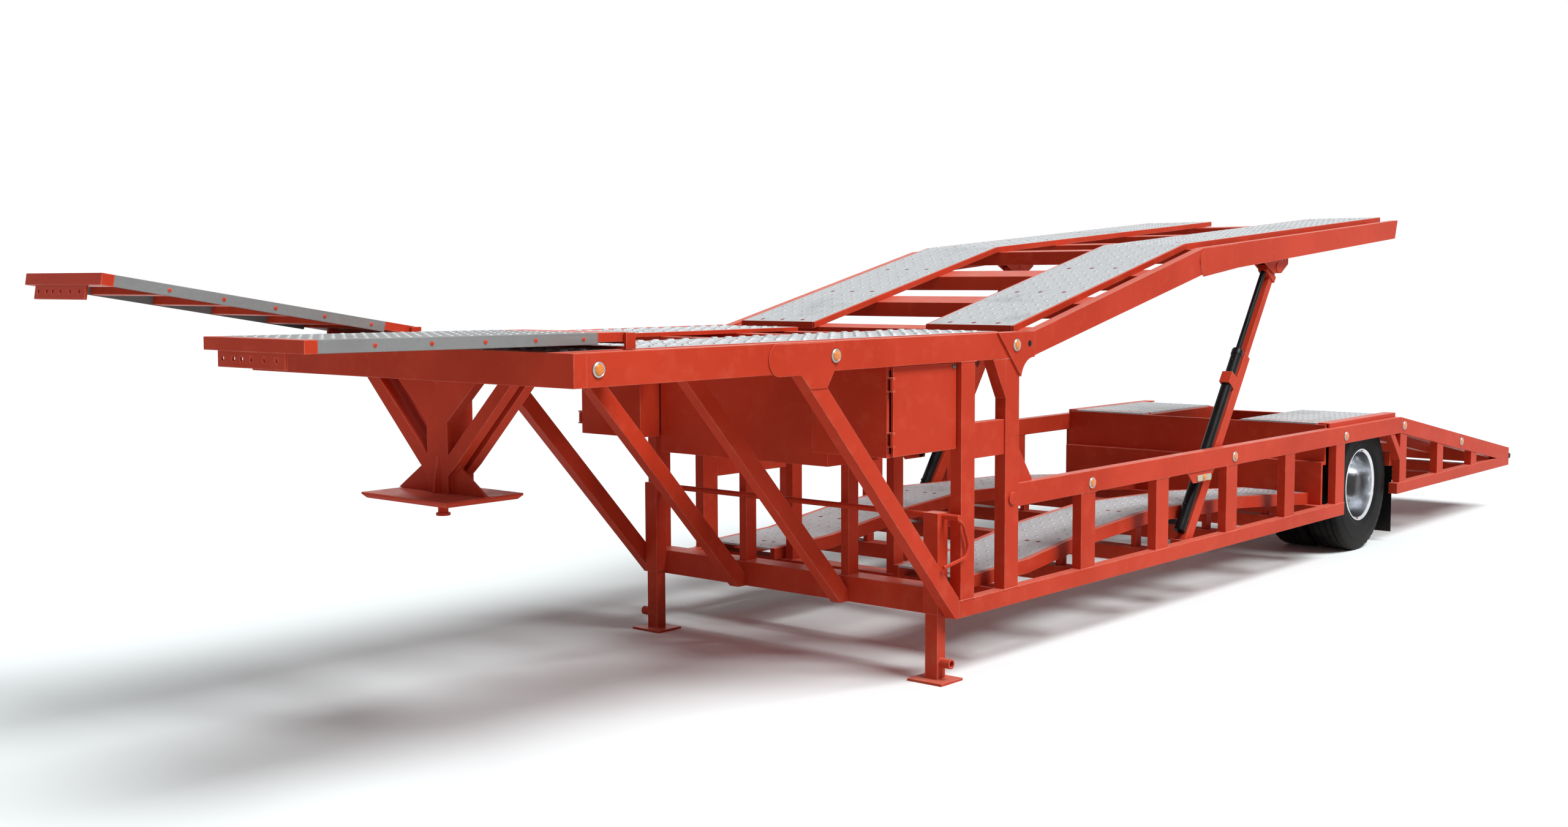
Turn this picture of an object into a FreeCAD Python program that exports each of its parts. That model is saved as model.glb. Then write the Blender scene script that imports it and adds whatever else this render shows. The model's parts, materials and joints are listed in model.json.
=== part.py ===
"""Single-axle car-transporter semi-trailer: a low well between trussed side frames, a deck over
the coupling neck, a wheel deck with a sloping tail, and an upper deck that tilts on two lift posts.

Millimetres.  +X is forward, +Y left, +Z up, and the ground is Z = 0.  A station is a distance along
X from the front face of the neck crossbeam, and a height in the sheet is measured from the frame's
datum.  Every sub-part is then moved by the offset that puts the middle of the overall length over
the origin, and raised by the one that stands the tyres on the ground."""
import FreeCAD
import Part
import Sketcher
import math
import os
import re

vec = FreeCAD.Vector
doc = FreeCAD.newDocument("car_transporter_trailer")
sheet = doc.addObject("Spreadsheet::Sheet", "dims")

# ---------------------------------------------------------------- driving dimensions
sizes = {
    # side frames; the well's posts are named by their centre stations
    "half_width": 1250, "tube": 75, "post_recess": 5,
    "low_rail_bottom": 347, "low_rail_top": 447, "top_rail_bottom": 925, "top_rail_top": 1062,
    "post_width": 170, "post_a": -1420, "post_b": -2385, "post_c": -3415, "post_d": -4395, "post_e": -5345,
    "peak": -6620, "tail_post_width": 150, "tail_post_pitch": 894, "tail_end": -9480, "tail_end_top": 573,
    "tail_low_bottom": 401, "tail_low_top": 494, "tail_low_front": -6556, "tail_beam": 80,
    "tail_knee": 130, "beam_width": 120, "buffer_radius": 26, "buffer_height": 490,
    # neck: crossbeam, tall posts and diagonal braces
    "neck_depth": 150, "neck_top": 500, "post_setback": 16, "rear_post_front": -465,
    "rear_post_rear": -608, "inner_post_y": 410, "inner_post_width": 60, "inner_post_depth": 95,
    "brace_rise": 148, "brace_foot": 30, "brace_top": 1387, "inner_brace_foot": 70,
    "inner_brace_top": 1440, "inner_brace_width": 75, "panel_bottom": 1245, "panel_top": 1450,
    "panel_depth": 60, "boss_radius": 38, "boss_height": 980,
    # deck over the neck and the plates that stiffen its corners
    "deck_bottom": 1802, "deck_top": 1956, "deck_front": 2894, "deck_skin": 26, "deck_beam": 75,
    "gusset": 12, "sleeve": 6, "sleeve_front": 1579, "sleeve_rear": 1119, "sleeve_drop": 84,
    "sleeve_radius": 86, "knee_length": 130, "knee_drop": 232, "heel_length": 192, "heel_rise": 268,
    # coupling
    "kingpin_station": 2635, "plate_bottom": 1200, "plate_thickness": 30, "plate_bevel": 20,
    "plate_front": 2880, "plate_rear": 2400, "plate_half": 330, "column": 160, "web": 12,
    "kingpin_neck": 50.8, "kingpin_flange": 71.5, "kingpin_drop": 84,
    # landing legs: a square slide in a square tube, a jack socket on the slide and a folded crank
    "leg_width": 102, "leg_depth": 95, "leg_wall": 8, "leg_top": 950, "leg_bottom": 370, "leg_gap": 5,
    "slide_gap": 0.3, "foot_width": 240, "foot_length": 210, "foot_thickness": 15,
    "leg_shaft_height": 930, "leg_shaft_radius": 17, "socket_radius": 28, "socket_bore": 20,
    "socket_length": 75, "socket_height": 110, "crank_radius": 10, "crank_bend": 60,
    # lockers under the deck
    "locker_front": 610, "locker_rear": -10, "locker_inner": 680, "locker_inset": 50,
    "locker_bottom": 1308, "locker_wall": 20, "door_gap": 5, "door_thickness": 15,
    "centre_box_front": 450, "centre_box_half": 660, "centre_box_bottom": 1210,
    "door_pin_radius": 6, "door_knuckle_radius": 12, "door_knuckle_length": 60,
    # runways: silver tread plates between red edge beams
    "runway_inner": 480, "runway_outer": 1070, "edge_width": 40, "edge_depth": 90, "tread": 12,
    "deck_plate_inner": 450, "deck_plate_outer": 1100, "edge_strip": 15, "plate_skin": 12,
    # wheels and axle
    "axle_station": -6000, "axle_height": 530, "tyre_radius": 550, "tyre_width": 300,
    "bead_radius": 288, "rim_radius": 302, "side_gap": 10, "twin_gap": 30, "axle_beam": 120,
    "spindle_radius": 40, "running_gap": 0.3, "drum_radius": 208, "disc": 14, "flap_station": -6632,
    # wheel deck
    "wheel_deck_top": 1099, "wheel_deck_rear": -6400, "strip_length": 100, "separator": 35,
    "chassis_rail_width": 70, "chassis_rail_bottom": 770, "girder_depth": 100,
    "bulkhead_station": -5200, "bulkhead_step": 60, "bulkhead_ledge": 790, "bulkhead_skin": 25,
    # upper deck
    "pivot_station": -700, "pivot_height": 1885, "pivot_radius": 20, "lug_radius": 55,
    "upper_front": -775, "upper_front_top": 1955, "upper_front_bottom": 1810,
    "kink_station": -2930, "kink_top": 2470, "kink_bottom": 2290,
    "upper_end": -6430, "upper_end_top": 2738, "upper_end_bottom": 2585, "upper_end_cut": 50,
    "deck_clearance": 5, "member_depth": 98, "kink_plate_length": 494, "kink_radius": 110,
    "gusset_front": 331, "gusset_tip": 1693, "gusset_rear": 55, "gusset_bottom": 1803,
    "gusset_radius": 135,
    # lift posts: a square slide in a square tube, raised by a cylinder in front of it
    "lift_base_station": -2893, "lift_base_height": 400, "lift_eye_station": -4250,
    "lift_eye_height": 2340, "lift_width": 70, "lift_tube": 92, "lift_wall": 8,
    "lift_slide_gap": 1, "slide_depth": 60, "lift_outer_length": 1580, "cylinder_radius": 38,
    "cylinder_bore": 30, "cylinder_length": 1560, "cylinder_offset": 96, "rod_radius": 20,
    "collar_place": 1350, "collar_length": 90, "eye_radius": 35, "cheek": 10, "cheek_half": 60, "foot_gap": 14,
    # front runways
    "ramp_hinge_station": 2425, "ramp_hinge_height": 2006, "ramp_tip": 4125, "ramp_inner": 385,
    "ramp_outer": 1100, "ramp_pitch": 1580, "ramp_depth": 54, "ramp_skin": 5, "ramp_cap": 60,
    "ramp_tray_start": 185, "ramp_hinge_radius": 20, "ramp_rest_left": 0.5, "ramp_rest_right": 9.4,
    "toe_inner": 487, "toe_outer": 965, "toe_drop": 66, "toe_hole_radius": 12,
    # lamps
    "lamp_radius": 26, "lamp_depth": 10,
}
for row, (alias, number) in enumerate(sizes.items(), start=1):
    sheet.set(f"A{row}", alias)
    sheet.set(f"B{row}", str(number))
    sheet.setAlias(f"B{row}", alias)
doc.recompute()


def bound(text):
    """The expression text with every sheet alias pointed at its cell."""
    return re.sub(r"[a-z_]+", lambda word: f"dims.{word[0]}" if word[0] in sizes else word[0], str(text))


def value(text):
    """The number that an expression gives with the sheet's present values."""
    return float(sheet.evalExpression(bound(text)))


# from station and datum to the part's own frame
centre = "(ramp_tip + tail_end - 2 * buffer_radius) / 2"
ground = "(axle_height - tyre_radius)"
inside = "(half_width - tube)"
# what stands just inside the side rails: the outer tyre's face and the middle of the lift post
tyre_face = f"({inside} - side_gap)"
lift_line = f"({inside} - side_gap - lift_width / 2)"
twin_pitch = "(tyre_width + twin_gap)"
parts = {}


def keep(node, shapes):
    """Store one sub-part: its label is its node's name, and its placement centres and grounds it."""
    holder = doc.addObject("Part::Compound", node)
    holder.Links = shapes
    holder.Label = node
    holder.setExpression("Placement.Base.x", bound(f"-{centre}"))
    holder.setExpression("Placement.Base.z", bound(f"-{ground}"))
    parts[node] = holder
    return holder


def block(name, x_range, y_range, z_range):
    """A box between two stations, two offsets from the centre line and two heights."""
    solid = doc.addObject("Part::Box", name)
    for side, letter, ends in (("Length", "x", x_range), ("Width", "y", y_range), ("Height", "z", z_range)):
        low, high = sorted(ends, key=value)
        solid.setExpression(side, bound(f"({high}) - ({low})"))
        solid.setExpression(f"Placement.Base.{letter}", bound(low))
    return solid


def rod(name, axis, radius, centre_at, ends):
    """A round bar along one axis: centre_at holds the two other coordinates in X, Y, Z order."""
    solid = doc.addObject("Part::Cylinder", name)
    low, high = sorted(ends, key=value)
    solid.setExpression("Radius", bound(radius))
    solid.setExpression("Height", bound(f"({high}) - ({low})"))
    turn = {"x": (vec(0, 1, 0), 90), "y": (vec(1, 0, 0), -90), "z": (vec(0, 0, 1), 0)}[axis]
    solid.Placement = FreeCAD.Placement(vec(), FreeCAD.Rotation(*turn))
    others = [letter for letter in "xyz" if letter != axis]
    solid.setExpression(f"Placement.Base.{axis}", bound(low))
    for letter, place in zip(others, centre_at):
        solid.setExpression(f"Placement.Base.{letter}", bound(place))
    return solid


def outlined(body, name, plane, corners):
    """A closed sketch on one of a body's planes, each corner held by two dimensions.  A corner is
    (across, up), or (across, up, radius, side) when an arc leads from it to the next corner and
    bulges to the left of the way there (side 1) or to its right (side -1)."""
    sketch = body.newObject("Sketcher::SketchObject", f"{name}_outline")
    origin = [item for item in body.Origin.OriginFeatures if item.Role == f"{plane}_Plane"][0]
    sketch.AttachmentSupport = (origin, [""])
    sketch.MapMode = "FlatFace"
    start = [vec(value(corner[0]), value(corner[1]), 0) for corner in corners]
    heads = []
    for i, corner in enumerate(corners):
        here, there = start[i], start[(i + 1) % len(corners)]
        if len(corner) == 2:
            sketch.addGeometry(Part.LineSegment(here, there), False)
            heads.append((1, 2))
            continue
        radius, side = value(corner[2]), corner[3]
        chord = there - here
        sagitta = radius - math.sqrt(radius ** 2 - chord.Length ** 2 / 4)
        left = vec(-chord.y, chord.x, 0).normalize()
        middle = (here + there) * 0.5 + left * (side * sagitta)
        sketch.addGeometry(Part.Arc(here, middle, there), False)
        index = sketch.addConstraint(Sketcher.Constraint("Radius", i, radius))
        sketch.setExpression(f"Constraints[{index}]", bound(corner[2]))
        heads.append((2, 1) if side > 0 else (1, 2))
    for i, corner in enumerate(corners):
        following = (i + 1) % len(corners)
        sketch.addConstraint(Sketcher.Constraint("Coincident", i, heads[i][1], following, heads[following][0]))
        for kind, text, place in zip(("DistanceX", "DistanceY"), corner, (start[i].x, start[i].y)):
            index = sketch.addConstraint(Sketcher.Constraint(kind, -1, 1, i, heads[i][0], place))
            sketch.setExpression(f"Constraints[{index}]", bound(text))
    return sketch


def plate(name, corners, low, high, plane="XZ"):
    """A padded outline.  XZ outlines are (station, height) and run from y = low to high; YZ outlines
    are (y, height) from one station to another; XY outlines are (station, y) between two heights."""
    body = doc.addObject("PartDesign::Body", name)
    sketch = outlined(body, name, plane, corners)
    pad = body.newObject("PartDesign::Pad", f"{name}_pad")
    pad.Profile = sketch
    pad.Reversed = plane == "XZ"
    pad.setExpression("Length", bound(f"({high}) - ({low})"))
    sign = "-" if plane == "XZ" else ""
    sketch.setExpression("AttachmentOffset.Base.z", bound(f"{sign}({low})"))
    body.Tip = pad
    return body


def turned(name, profile):
    """A solid turned about its own Z axis from a closed (radius, height) outline."""
    body = doc.addObject("PartDesign::Body", name)
    sketch = outlined(body, name, "XZ", profile)
    turn = body.newObject("PartDesign::Revolution", f"{name}_turn")
    turn.Profile = sketch
    turn.ReferenceAxis = (sketch, ["V_Axis"])
    turn.Angle = 360
    body.Tip = turn
    return body


def bevelled(body, size, level):
    """Chamfer every edge of a body that lies flat at one height."""
    doc.recompute()
    whole = body.Tip
    names = [f"Edge{i}" for i, edge in enumerate(whole.Shape.Edges, start=1)
             if all(abs(vertex.Z - value(level)) < 0.01 for vertex in edge.Vertexes)]
    chamfer = body.newObject("PartDesign::Chamfer", f"{body.Name}_bevel")
    chamfer.Base = (whole, names)
    chamfer.setExpression("Size", bound(size))
    body.Tip = chamfer
    return body


def bent_bar(name, radius, route, bend):
    """A round bar along straight runs that are joined by tangent arcs of one bend radius."""
    points = [vec(*(value(text) for text in point)) for point in route]
    edges, here = [], points[0]
    for before, corner, after in zip(points, points[1:], points[2:]):
        into, out = (corner - before).normalize(), (after - corner).normalize()
        half = into.getAngle(out) / 2
        reach = value(bend) * math.tan(half)
        first, last = corner - into * reach, corner + out * reach
        bisector = (out - into).normalize()
        middle = corner + bisector * (value(bend) / math.cos(half) - value(bend))
        edges += [Part.LineSegment(here, first).toShape(), Part.Arc(first, middle, last).toShape()]
        here = last
    edges.append(Part.LineSegment(here, points[-1]).toShape())
    section = Part.Wire(Part.makeCircle(value(radius), points[0], points[1] - points[0]))
    bar = doc.addObject("Part::Feature", name)
    bar.Shape = Part.Wire(edges).makePipeShell([section], True, True)
    return bar


def mirrored(shapes):
    """The same shapes with their right-hand copies."""
    copies = []
    for shape in shapes:
        copy = doc.addObject("Part::Mirroring", f"{shape.Name}_right")
        copy.Source = shape
        copy.Normal = vec(0, 1, 0)
        copies.append(copy)
    return shapes + copies


def fused(name, shapes):
    joined = doc.addObject("Part::MultiFuse", name)
    joined.Shapes = shapes
    return joined


def cut(name, base, tool):
    left = doc.addObject("Part::Cut", name)
    left.Base = base
    left.Tool = tool
    return left


def placed(shape, spot, turn=None):
    """Bind a shape's place to three expressions, with an optional fixed turn."""
    if turn:
        shape.Placement = FreeCAD.Placement(vec(), FreeCAD.Rotation(*turn))
    for letter, text in zip("xyz", spot):
        shape.setExpression(f"Placement.Base.{letter}", bound(text))
    return shape


def along(line, station):
    """The height of a bent line at a station, as an expression."""
    for (x1, z1), (x2, z2) in zip(line, line[1:]):
        if value(station) >= value(x2):
            break
    return f"(({z1}) + (({station}) - ({x1})) * (({z2}) - ({z1})) / (({x2}) - ({x1})))"


def band(name, line, over, under, low, high):
    """A strip that follows a bent line, from one height above it to one below it."""
    top = [(x, f"({z}) + ({over})") for x, z in line]
    bottom = [(x, f"({z}) - ({under})") for x, z in reversed(line)]
    return plate(name, top + bottom, low, high)


side_posts = ("post_a", "post_b", "post_c", "post_d", "post_e")
tail_posts = [f"(peak - tail_post_width / 2 - {i} * tail_post_pitch)" for i in range(3)]
rail_depth = "(top_rail_top - top_rail_bottom)"
tail_top = [("peak", "top_rail_top"), ("tail_end", "tail_end_top")]
tail_under = [("peak", "top_rail_bottom"), ("tail_end", f"tail_end_top - {rail_depth}")]
recessed = (f"{inside} + post_recess", "half_width - post_recess")


# ---------------------------------------------------------------- side frames
def side_frames():
    tail_meet = "peak - (top_rail_bottom - tail_low_top) * (peak - tail_end) / (top_rail_top - tail_end_top)"
    keep("side_rails", mirrored([
        block("lower_rail", ("0", "post_e - post_width / 2"), (inside, "half_width"),
              ("low_rail_bottom", "low_rail_top")),
        block("upper_rail", ("rear_post_rear", "peak"), (inside, "half_width"),
              ("top_rail_bottom", "top_rail_top")),
        block("deck_rail", ("rear_post_rear", "deck_front - deck_beam"), (inside, "half_width"),
              ("deck_bottom", "deck_top")),
        plate("tail_lower_rail", [("tail_low_front", "tail_low_bottom"), ("tail_end", "tail_low_bottom"),
                                  ("tail_end", f"tail_end_top - {rail_depth}"), (tail_meet, "tail_low_top"),
                                  ("tail_low_front", "tail_low_top")], inside, "half_width")]))
    keep("tail_rails", mirrored([band("tail_upper_rail", tail_top, "0", rail_depth, inside, "half_width")]))
    posts = [block(f"side_post_{i}", (f"{x} - post_width / 2", f"{x} + post_width / 2"), recessed,
                   ("low_rail_top", "top_rail_bottom")) for i, x in enumerate(side_posts)]
    for i, x in enumerate(tail_posts):
        rear, front = f"{x} - tail_post_width / 2", f"{x} + tail_post_width / 2"
        posts.append(plate(f"tail_post_{i}", [(rear, "tail_low_top"), (front, "tail_low_top"),
                                              (front, along(tail_under, front)),
                                              (rear, along(tail_under, rear))], *recessed))
    for i, (front, rear) in enumerate((("-post_setback", "-neck_depth"), ("rear_post_front", "rear_post_rear"))):
        foot = ("neck_top", "low_rail_top")[i]
        posts.append(block(f"tall_post_{i}", (rear, front), (inside, "half_width"),
                           ("low_rail_top", "deck_bottom")))
        posts.append(block(f"inner_post_{i}", (f"{front} - inner_post_depth", front),
                           ("inner_post_y - inner_post_width / 2", "inner_post_y + inner_post_width / 2"),
                           (foot, "deck_bottom")))
    keep("posts", mirrored(posts))


# ---------------------------------------------------------------- crossbeams and braces
def crossbeams():
    # rear face, front face, underside, top and half length of each beam
    table = [("-neck_depth", "0", "low_rail_bottom", "neck_top", inside),
             ("rear_post_rear", "rear_post_front", "low_rail_bottom", "low_rail_top", inside),
             ("bulkhead_station", "bulkhead_station + beam_width", "low_rail_bottom", "low_rail_top", inside),
             ("flap_station + 2", "tail_low_front", "640", "760", f"{inside} + post_recess"),
             ("peak", "peak + 60", "top_rail_top - plate_skin - girder_depth", "top_rail_top - plate_skin",
              inside),
             ("tail_end", "tail_end + tail_beam", "415", "tail_end_top - 20", inside),
             ("deck_front - deck_beam", "deck_front", "deck_bottom", "deck_top", "half_width")]
    for x in side_posts[:-1]:
        table.append((f"{x} - beam_width / 2", f"{x} + beam_width / 2", "low_rail_bottom", "low_rail_top", inside))
    for x in tail_posts[1:]:
        table.append((f"{x} - beam_width / 2", f"{x} + beam_width / 2", "tail_low_bottom", "tail_low_top", inside))
    # members under the deck: centre, width and half length
    for x, width, half in ((2585, 160, inside), (1920, 80, inside), (1280, 220, inside), (617, 75, inside),
                           (-83, 134, inside), (-536, 142, f"({inside} - gusset)")):
        table.append((f"{x} - {width} / 2", f"{x} + {width} / 2", "deck_bottom", "deck_top - deck_skin", half))
    keep("crossbeams", [block(f"crossbeam_{i}", (rear, front), (f"-({half})", half), (bottom, top))
                        for i, (rear, front, bottom, top, half) in enumerate(table)])
    # a brace climbs from the neck's foot to the deck's underside
    braces = []
    for name, foot, head, low, high in (
            ("outer", "brace_foot", "brace_top", inside, "half_width"),
            ("inner", "inner_brace_foot", "inner_brace_top", "inner_post_y - inner_brace_width / 2",
             "inner_post_y + inner_brace_width / 2")):
        climb = f"((deck_bottom - low_rail_bottom) / ({head} - {foot}))"
        braces.append(plate(f"{name}_brace", [
            ("0", "low_rail_bottom"), (foot, "low_rail_bottom"), (head, "deck_bottom"),
            (f"{head} - brace_rise / {climb}", "deck_bottom"),
            ("0", f"low_rail_bottom + brace_rise - {foot} * {climb}")], low, high))
    keep("diagonal_braces", mirrored(braces))


def gussets():
    sleeve = plate("brace_sleeve", [
        ("sleeve_front", "deck_top - 4", "sleeve_radius", 1), ("sleeve_front - 22", "deck_bottom - 12"),
        ("brace_top - 2", "deck_bottom - 12"), ("brace_top - 78", "deck_bottom - sleeve_drop"),
        ("sleeve_rear + 59", "deck_bottom - sleeve_drop"), ("sleeve_rear", "deck_bottom + 4"),
        ("sleeve_rear", "deck_top - 4")], "half_width", "half_width + sleeve")
    knee = plate("deck_knee", [("rear_post_front", "deck_bottom"),
                               ("rear_post_front", "deck_bottom - knee_drop"),
                               ("rear_post_front + knee_length", "deck_bottom")], inside, "half_width")
    heel = plate("post_heel", [("rear_post_rear", "top_rail_top"),
                               ("rear_post_rear", "top_rail_top + heel_rise"),
                               ("rear_post_rear - heel_length", "top_rail_top + 13"),
                               ("rear_post_rear - heel_length", "top_rail_top")],
                 "half_width - tube / 2 - gusset / 2", "half_width - tube / 2 + gusset / 2")
    tail_knee = plate("tail_knee", [("peak + 220", "top_rail_bottom"), ("peak + tail_knee", "top_rail_bottom"),
                                    ("peak", "top_rail_bottom - 135"), ("peak", "top_rail_bottom - 235")],
                      *recessed)
    panel = block("post_panel", ("rear_post_front", "-neck_depth"),
                  (f"{inside} + post_recess", f"{inside} + post_recess + panel_depth"),
                  ("panel_bottom", "panel_top"))
    boss = rod("post_boss", "y", "boss_radius", ("(rear_post_front + rear_post_rear) / 2", "boss_height"),
               ("half_width", "half_width + gusset"))
    tab = plate("lamp_tab", [("-3000", "top_rail_bottom"), ("-3110", "top_rail_bottom"),
                             ("-3090", "top_rail_bottom - 78"), ("-3015", "top_rail_bottom - 78")],
                "half_width - 20", "half_width - 12")
    keep("gusset_plates", mirrored([sleeve, knee, heel, tail_knee, panel, boss, tab]))


# ---------------------------------------------------------------- hinge brackets
def pivot_brackets():
    # a plate each side of the upper deck's lug and the pin through them
    outline = [("pivot_station + gusset_front", "deck_top"),
               ("rear_post_rear - 3", "gusset_tip", "gusset_radius", -1),
               ("pivot_station - gusset_rear", "gusset_bottom"), ("pivot_station - gusset_rear", "deck_top")]
    deck_hinge = fused("deck_hinge", [
        plate("outer_gusset", outline, "half_width", "half_width + gusset"),
        plate("inner_gusset", outline, f"{inside} - gusset", inside),
        rod("deck_pivot_pin", "y", "pivot_radius", ("pivot_station", "pivot_height"),
            (f"{inside} - gusset", "half_width + gusset"))])
    # two ears and a pin for each front runway, on one base
    span = ("ramp_hinge_station - 30", "ramp_hinge_station + 30")
    ear_z = ("deck_top", "ramp_hinge_height + 25")
    hinges = []
    for side, shift in (("left", "0"), ("right", "ramp_pitch")):
        inner, outer = f"ramp_inner - {shift}", f"ramp_outer - {shift}"
        hinges.append(fused(f"{side}_ramp_hinge", [
            block(f"{side}_ramp_ear_inner", span, (f"{inner} - 20", f"{inner} - 5"), ear_z),
            block(f"{side}_ramp_ear_outer", span, (f"{outer} + 5", f"{outer} + 20"), ear_z),
            block(f"{side}_ramp_base", span, (f"{inner} - 20", f"{outer} + 20"), ("deck_top", "deck_top + 12")),
            rod(f"{side}_ramp_pin", "y", "ramp_hinge_radius / 2", ("ramp_hinge_station", "ramp_hinge_height"),
                (f"{inner} - 20", f"{outer} + 20"))]))
    # the lift post's foot turns on a pin between the side rail and a cheek
    face = f"({lift_line} - lift_width / 2 - deck_clearance)"
    heel, toe = (f"lift_base_station {way} (lift_tube / 2 + foot_gap)" for way in "-+")
    lift_base = fused("lift_base", [
        block("lift_foot_cheek", (heel, f"{toe} + 20"),
              (f"{face} - cheek", face), ("low_rail_bottom", "low_rail_top")),
        block("lift_foot_tie", (toe, f"{toe} + 20"),
              (face, inside), ("low_rail_bottom", "low_rail_top")),
        rod("lift_foot_pin", "y", "pivot_radius", ("lift_base_station", "lift_base_height"),
            (f"{face} - cheek", inside))])
    keep("pivot_brackets", mirrored([deck_hinge, lift_base]) + hinges)


# ---------------------------------------------------------------- coupling
def coupling():
    half, plate_top = "column / 2", "(plate_bottom + plate_thickness)"
    front = f"(kingpin_station - 50 + {half})"
    rear = f"({front} - column)"
    pieces = [block("kingpin_post", (rear, front), (f"-{half}", half), (plate_top, "deck_bottom"))]
    strut = [(0, 1250), (140, 1367), (585, "deck_bottom"), (485, "deck_bottom"), (0, 1340)]
    web = [(0, 1585), (0, "deck_bottom"), (330, "deck_bottom"), (f"{half} + 5", 1585)]
    foot = [(0, plate_top), (350, plate_top), (140, 1367), (0, 1367)]
    for side, sign in (("left", ""), ("right", "-")):
        for name, outline, start, end in (
                ("strut", strut, f"{front} - 60", front), ("back_strut", strut, rear, f"{rear} + 60"),
                ("web", web, f"{front} - 60", front), ("foot", foot, f"{front} - 25 - web", f"{front} - 25")):
            pieces.append(plate(f"kingpin_{name}_{side}", [(f"{sign}({y})", z) for y, z in outline],
                                start, end, "YZ"))
    pieces.append(plate("kingpin_fin", [(front, plate_top), (f"{front} + 30", plate_top), (front, 1430)],
                        "-web / 2", "web / 2"))
    keep("kingpin_column", [fused("kingpin_frame", pieces)])
    rub = bevelled(plate("rub_plate", [("plate_rear", "-plate_half"), ("plate_front", "-plate_half"),
                                       ("plate_front", "plate_half"), ("plate_rear", "plate_half")],
                         "plate_bottom", plate_top, "XY"), "plate_bevel", "plate_bottom")
    neck, flange, foot = "kingpin_neck / 2", "kingpin_flange / 2", "plate_bottom - kingpin_drop"
    pin = turned("kingpin_pin", [("0", "plate_bottom + 5"), ("0", foot), (flange, foot), (flange, f"{foot} + 14"),
                                 (neck, f"{foot} + 14"), (neck, "plate_bottom - 35"),
                                 (flange, "plate_bottom - 35"), (flange, "plate_bottom + 5")])
    pin.setExpression("Placement.Base.x", bound("kingpin_station"))
    keep("kingpin_plate", [fused("kingpin_and_plate", [rub, pin])])


# ---------------------------------------------------------------- landing legs
def landing_gear():
    leg_y = f"({inside} - leg_gap - leg_width / 2)"
    out, deep = "leg_width / 2", "leg_depth"
    shell = block("leg_shell", ("0", deep), (f"{leg_y} - {out}", f"{leg_y} + {out}"), ("leg_bottom", "leg_top"))
    bore = block("leg_bore", ("leg_wall", f"{deep} - leg_wall"),
                 (f"{leg_y} - {out} + leg_wall", f"{leg_y} + {out} - leg_wall"),
                 ("leg_bottom - 1", "leg_top - leg_wall"))
    slack = "(leg_wall + slide_gap)"
    slide = block("leg_slide", (slack, f"{deep} - {slack}"),
                  (f"{leg_y} - {out} + {slack}", f"{leg_y} + {out} - {slack}"),
                  (f"{ground} + foot_thickness", "leg_top - 160"))
    foot = block("leg_foot", (f"{deep} / 2 - foot_length / 2", f"{deep} / 2 + foot_length / 2"),
                 (f"{leg_y} - foot_width / 2", f"{leg_y} + foot_width / 2"), (ground, f"{ground} + foot_thickness"))
    level = (f"{deep} / 2", f"{ground} + socket_height")
    socket = rod("jack_socket", "y", "socket_radius", level, (leg_y, f"{leg_y} + {out} + socket_length - 10"))
    hole = rod("jack_socket_bore", "y", "socket_bore", level,
               (f"{leg_y} + {out}", f"{leg_y} + {out} + socket_length"))
    keep("landing_legs", mirrored([cut("landing_leg", shell, bore),
                                   cut("landing_foot", fused("landing_slide", [slide, foot, socket]), hole)]))
    height = (f"{deep} / 2", "leg_shaft_height")
    shaft = rod("leg_shaft", "y", "leg_shaft_radius", height, (f"-({leg_y} - {out})", f"{leg_y} - {out}"))
    hang = "half_width + 25"
    stub = rod("crank_stub", "y", "leg_shaft_radius", height, (f"{leg_y} + {out}", f"{hang} + crank_radius"))
    crank = bent_bar("crank_bar", "crank_radius", [
        ("45", hang, "917"), ("-4", hang, "883"), ("-59", hang, "748"), ("-17", hang, "694"), ("185", hang, "665")],
        "crank_bend")
    keep("leg_shaft", [shaft, fused("crank", [stub, crank])])


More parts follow.
